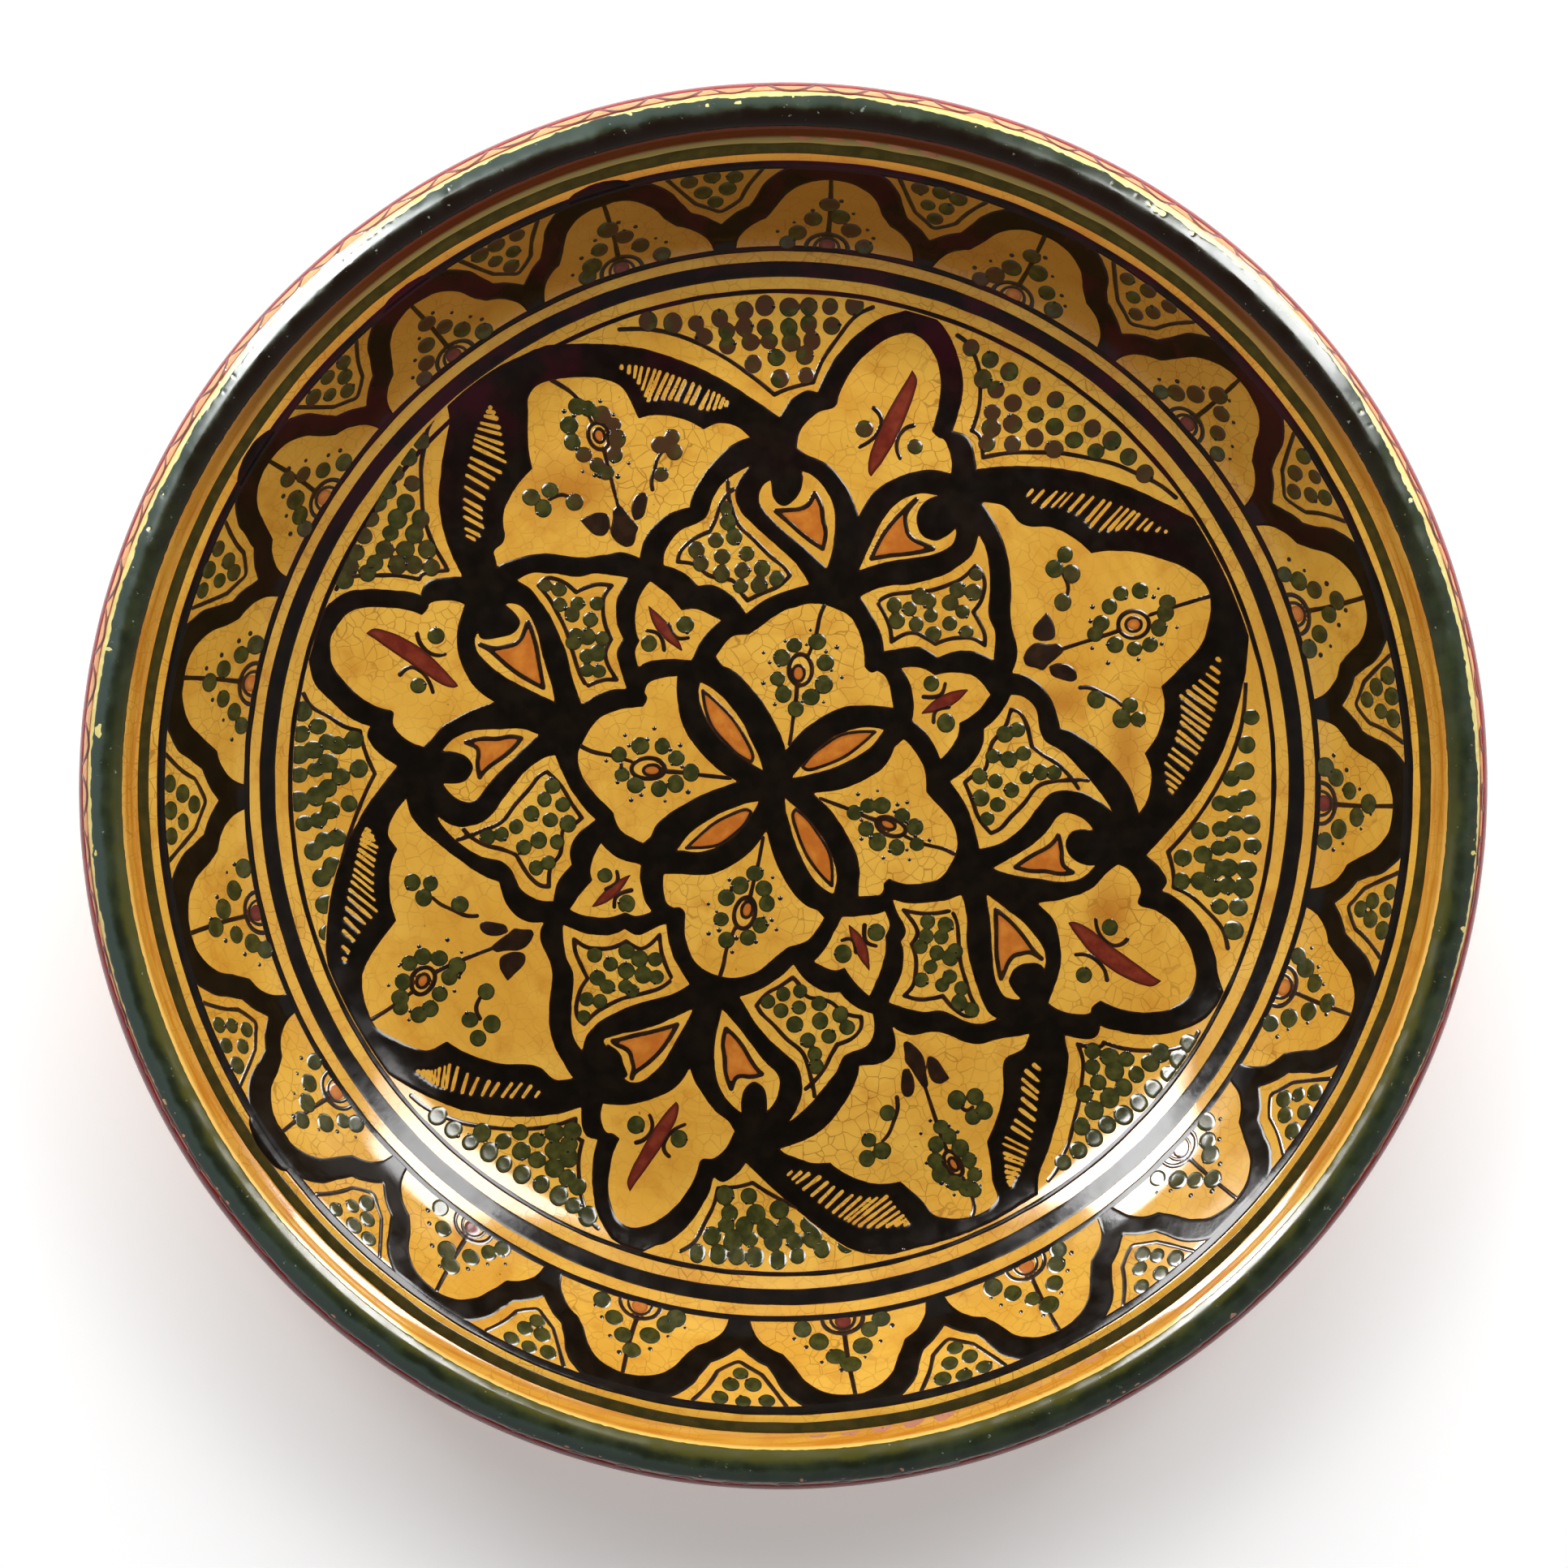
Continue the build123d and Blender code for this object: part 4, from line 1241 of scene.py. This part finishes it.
floor_paint = draw_well()
corner_x, corner_y = np.meshgrid(well.xs[:-1], well.ys[:-1])
quarters = {
    "northeast": (corner_x >= pattern_centre[0]) & (corner_y >= pattern_centre[1]),
    "northwest": (corner_x < pattern_centre[0]) & (corner_y >= pattern_centre[1]),
    "southwest": (corner_x < pattern_centre[0]) & (corner_y < pattern_centre[1]),
    "southeast": (corner_x >= pattern_centre[0]) & (corner_y < pattern_centre[1])}
for quarter, keep in quarters.items():
    painted(f"strapwork_{quarter}", well, floor_paint["black"], BLACK_RELIEF, black, "black_glaze", keep)
painted("well_fills_orange", well, floor_paint["orange"], FILL_RELIEF, orange, "orange_glaze")
painted("well_bars_red", well, floor_paint["red"], BAR_RELIEF, dark_red, "dark_red_glaze")
painted("well_fine_lines", well, floor_paint["lines"], LINE_RELIEF, line_paint, "black_glaze",
        rise=FINE_RISE)
for side, keep in (("east", corner_x >= 0), ("west", corner_x < 0)):
    painted(f"well_green_dabs_{side}", well, floor_paint["green"], DAB_RELIEF, green, "green_glaze", keep)
painted("well_specks", well, floor_paint["specks"], SPECK_RELIEF, speck_paint, "black_glaze",
        rise=FINE_RISE)

wall_paint = draw_wall()
half = np.tile(wall.xs < -around_wall / 2, (len(wall.ys) - 1, 1))
for side, keep in (("east", ~half), ("west", half)):
    painted(f"garland_{side}", wall, wall_paint["black"], BLACK_RELIEF, black, "black_glaze", keep)
painted("wall_fills_orange", wall, wall_paint["orange"], FILL_RELIEF, orange, "orange_glaze")
painted("wall_fills_red", wall, wall_paint["red"], FILL_RELIEF, dark_red, "dark_red_glaze")
painted("wall_fine_lines", wall, wall_paint["lines"], LINE_RELIEF, line_paint, "black_glaze",
        rise=FINE_RISE)
painted("wall_green_dabs", wall, wall_paint["green"], DAB_RELIEF, green, "green_glaze")
painted("wall_specks", wall, wall_paint["specks"], SPECK_RELIEF, speck_paint, "black_glaze", rise=FINE_RISE)
for name, inner, outer, paint, slot in (
        ("well_line_fine", 125.6, 126.8, black, "black_glaze"),
        ("well_band_broad", 129.6, 133.3, black, "black_glaze"),
        ("wall_line_lower", 135.6, 136.9, black, "black_glaze"),
        ("wall_line_upper", 153.6, 155.5, black, "black_glaze"),
        ("lip_line_olive", 157.2, 159.8, olive, "olive_glaze")):
    brushed_ring = ring(inner, outer, seed=int(10 * inner))
    piece = painted(f"painted_{name}", wall, brushed_ring, RING_RELIEF, paint, slot)
    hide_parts(name)

collar_paint = draw_collar()
half = np.tile(collar.xs < -around_collar / 2, (len(collar.ys) - 1, 1))
for side, keep in (("east", ~half), ("west", half)):
    field = collar_paint["green"]
    painted(f"rim_green_coat_{side}", collar, field, 0.14, rim, "green_glaze", keep, rise=0.5)
    field = collar_paint["red"]
    painted(f"collar_red_coat_{side}", collar, field, 0.12, red_coat, "dark_red_glaze", keep)
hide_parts("rim_glaze_green")
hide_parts("collar_glaze_red")
# The pale edge under the green: partly wear, partly a painted highlight on the upper side.
painted("rim_wear_and_highlight_edge", collar, collar_paint["pale"], 0.05, pale_wear_and_highlight(), "peach_glaze")
painted("collar_scale_lines", collar, collar_paint["scales"], 0.10, scale_paint, "dark_red_glaze", rise=0.3)

for node in ("clay_body", "foot_ring"):
    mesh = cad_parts[node].data
    mesh.materials.clear()
    mesh.materials.append(clay)

# ---- Floor, light and camera ---------------------------------------------------------------
bpy.ops.mesh.primitive_plane_add(size=6.0, location=(0, 0, -0.0005))
floor = bpy.context.object
floor.name = "floor"
paper = Finish("floor_paper", 0.9)
paper.shader.inputs["Emission Color"].default_value = (1.0, 1.0, 1.0, 1.0)
paper.shader.inputs["Emission Strength"].default_value = 0.28
paper_tones = (0.95, 0.95, 0.95, 1.0), (0.97, 0.97, 0.97, 1.0)
floor.data.materials.append(paper.base(paper.mix(paper.noise(300.0), *paper_tones)))

world = bpy.data.worlds.new("studio")
world.use_nodes = True
sky = world.node_tree
direction = sky.nodes.new("ShaderNodeTexCoord")
height = sky.nodes.new("ShaderNodeSeparateXYZ")
fade = sky.nodes.new("ShaderNodeMapRange")
for key, value in (("From Min", 0.15), ("From Max", 0.95), ("To Min", 0.40), ("To Max", 0.05)):
    fade.inputs[key].default_value = value
sky.links.new(direction.outputs["Generated"], height.inputs[0])
sky.links.new(height.outputs["Z"], fade.inputs["Value"])
sky.links.new(fade.outputs[0], sky.nodes["Background"].inputs["Strength"])
sky.nodes["Background"].inputs["Color"].default_value = (1.0, 1.0, 1.0, 1.0)
bpy.context.scene.world = world


def softbox(name, azimuth, elevation, distance, wide, tall, power, mirrored):
    """An area light aimed at the middle of the plate: one the glaze mirrors, or one that only lights it."""
    a, e = radians(azimuth), radians(elevation)
    place = Vector((cos(a) * cos(e), sin(a) * cos(e), sin(e))) * distance
    lamp = bpy.data.lights.new(name, "AREA")
    lamp.shape, lamp.size, lamp.size_y, lamp.energy = "RECTANGLE", wide, tall, power
    light = bpy.data.objects.new(name, lamp)
    light.location = place
    light.rotation_euler = (-place).to_track_quat("-Z", "Y").to_euler()
    light.visible_camera = False
    light.visible_glossy, light.visible_diffuse = mirrored, not mirrored
    bpy.context.scene.collection.objects.link(light)


# Each window is only mirrored in the glaze; the fill a little behind it only lights the plate.
softbox("key_light", 90, 42, 1.3, 1.0, 0.5, 12.5, False)
for side, azimuth, brightness in (("left", 135, 14.0), ("right", 42, 10.0)):
    softbox(f"fill_{side}", azimuth, 35, 0.75, 0.18, 0.80, 2.75, False)
    softbox(f"window_{side}", azimuth, 35, 0.7, 0.18, 0.80, brightness, True)

camera_place, camera_aim = Vector((-32.1, 52.7, 858.0)) * METRE, Vector((-0.9, 2.1, 40.0)) * METRE
forward = (camera_aim - camera_place).normalized()
right = forward.cross(Vector((0, 1, 0))).normalized()
upward = right.cross(forward)
camera = bpy.data.objects.new("camera", bpy.data.cameras.new("camera"))
camera.matrix_world = Matrix((
    (right.x, upward.x, -forward.x, camera_place.x), (right.y, upward.y, -forward.y, camera_place.y),
    (right.z, upward.z, -forward.z, camera_place.z), (0, 0, 0, 1)))
camera.data.lens, camera.data.sensor_width = 75.1, 36.0
bpy.context.scene.collection.objects.link(camera)
bpy.context.scene.camera = camera
bpy.context.scene.view_settings.view_transform = "Standard"

bpy.context.view_layer.update()
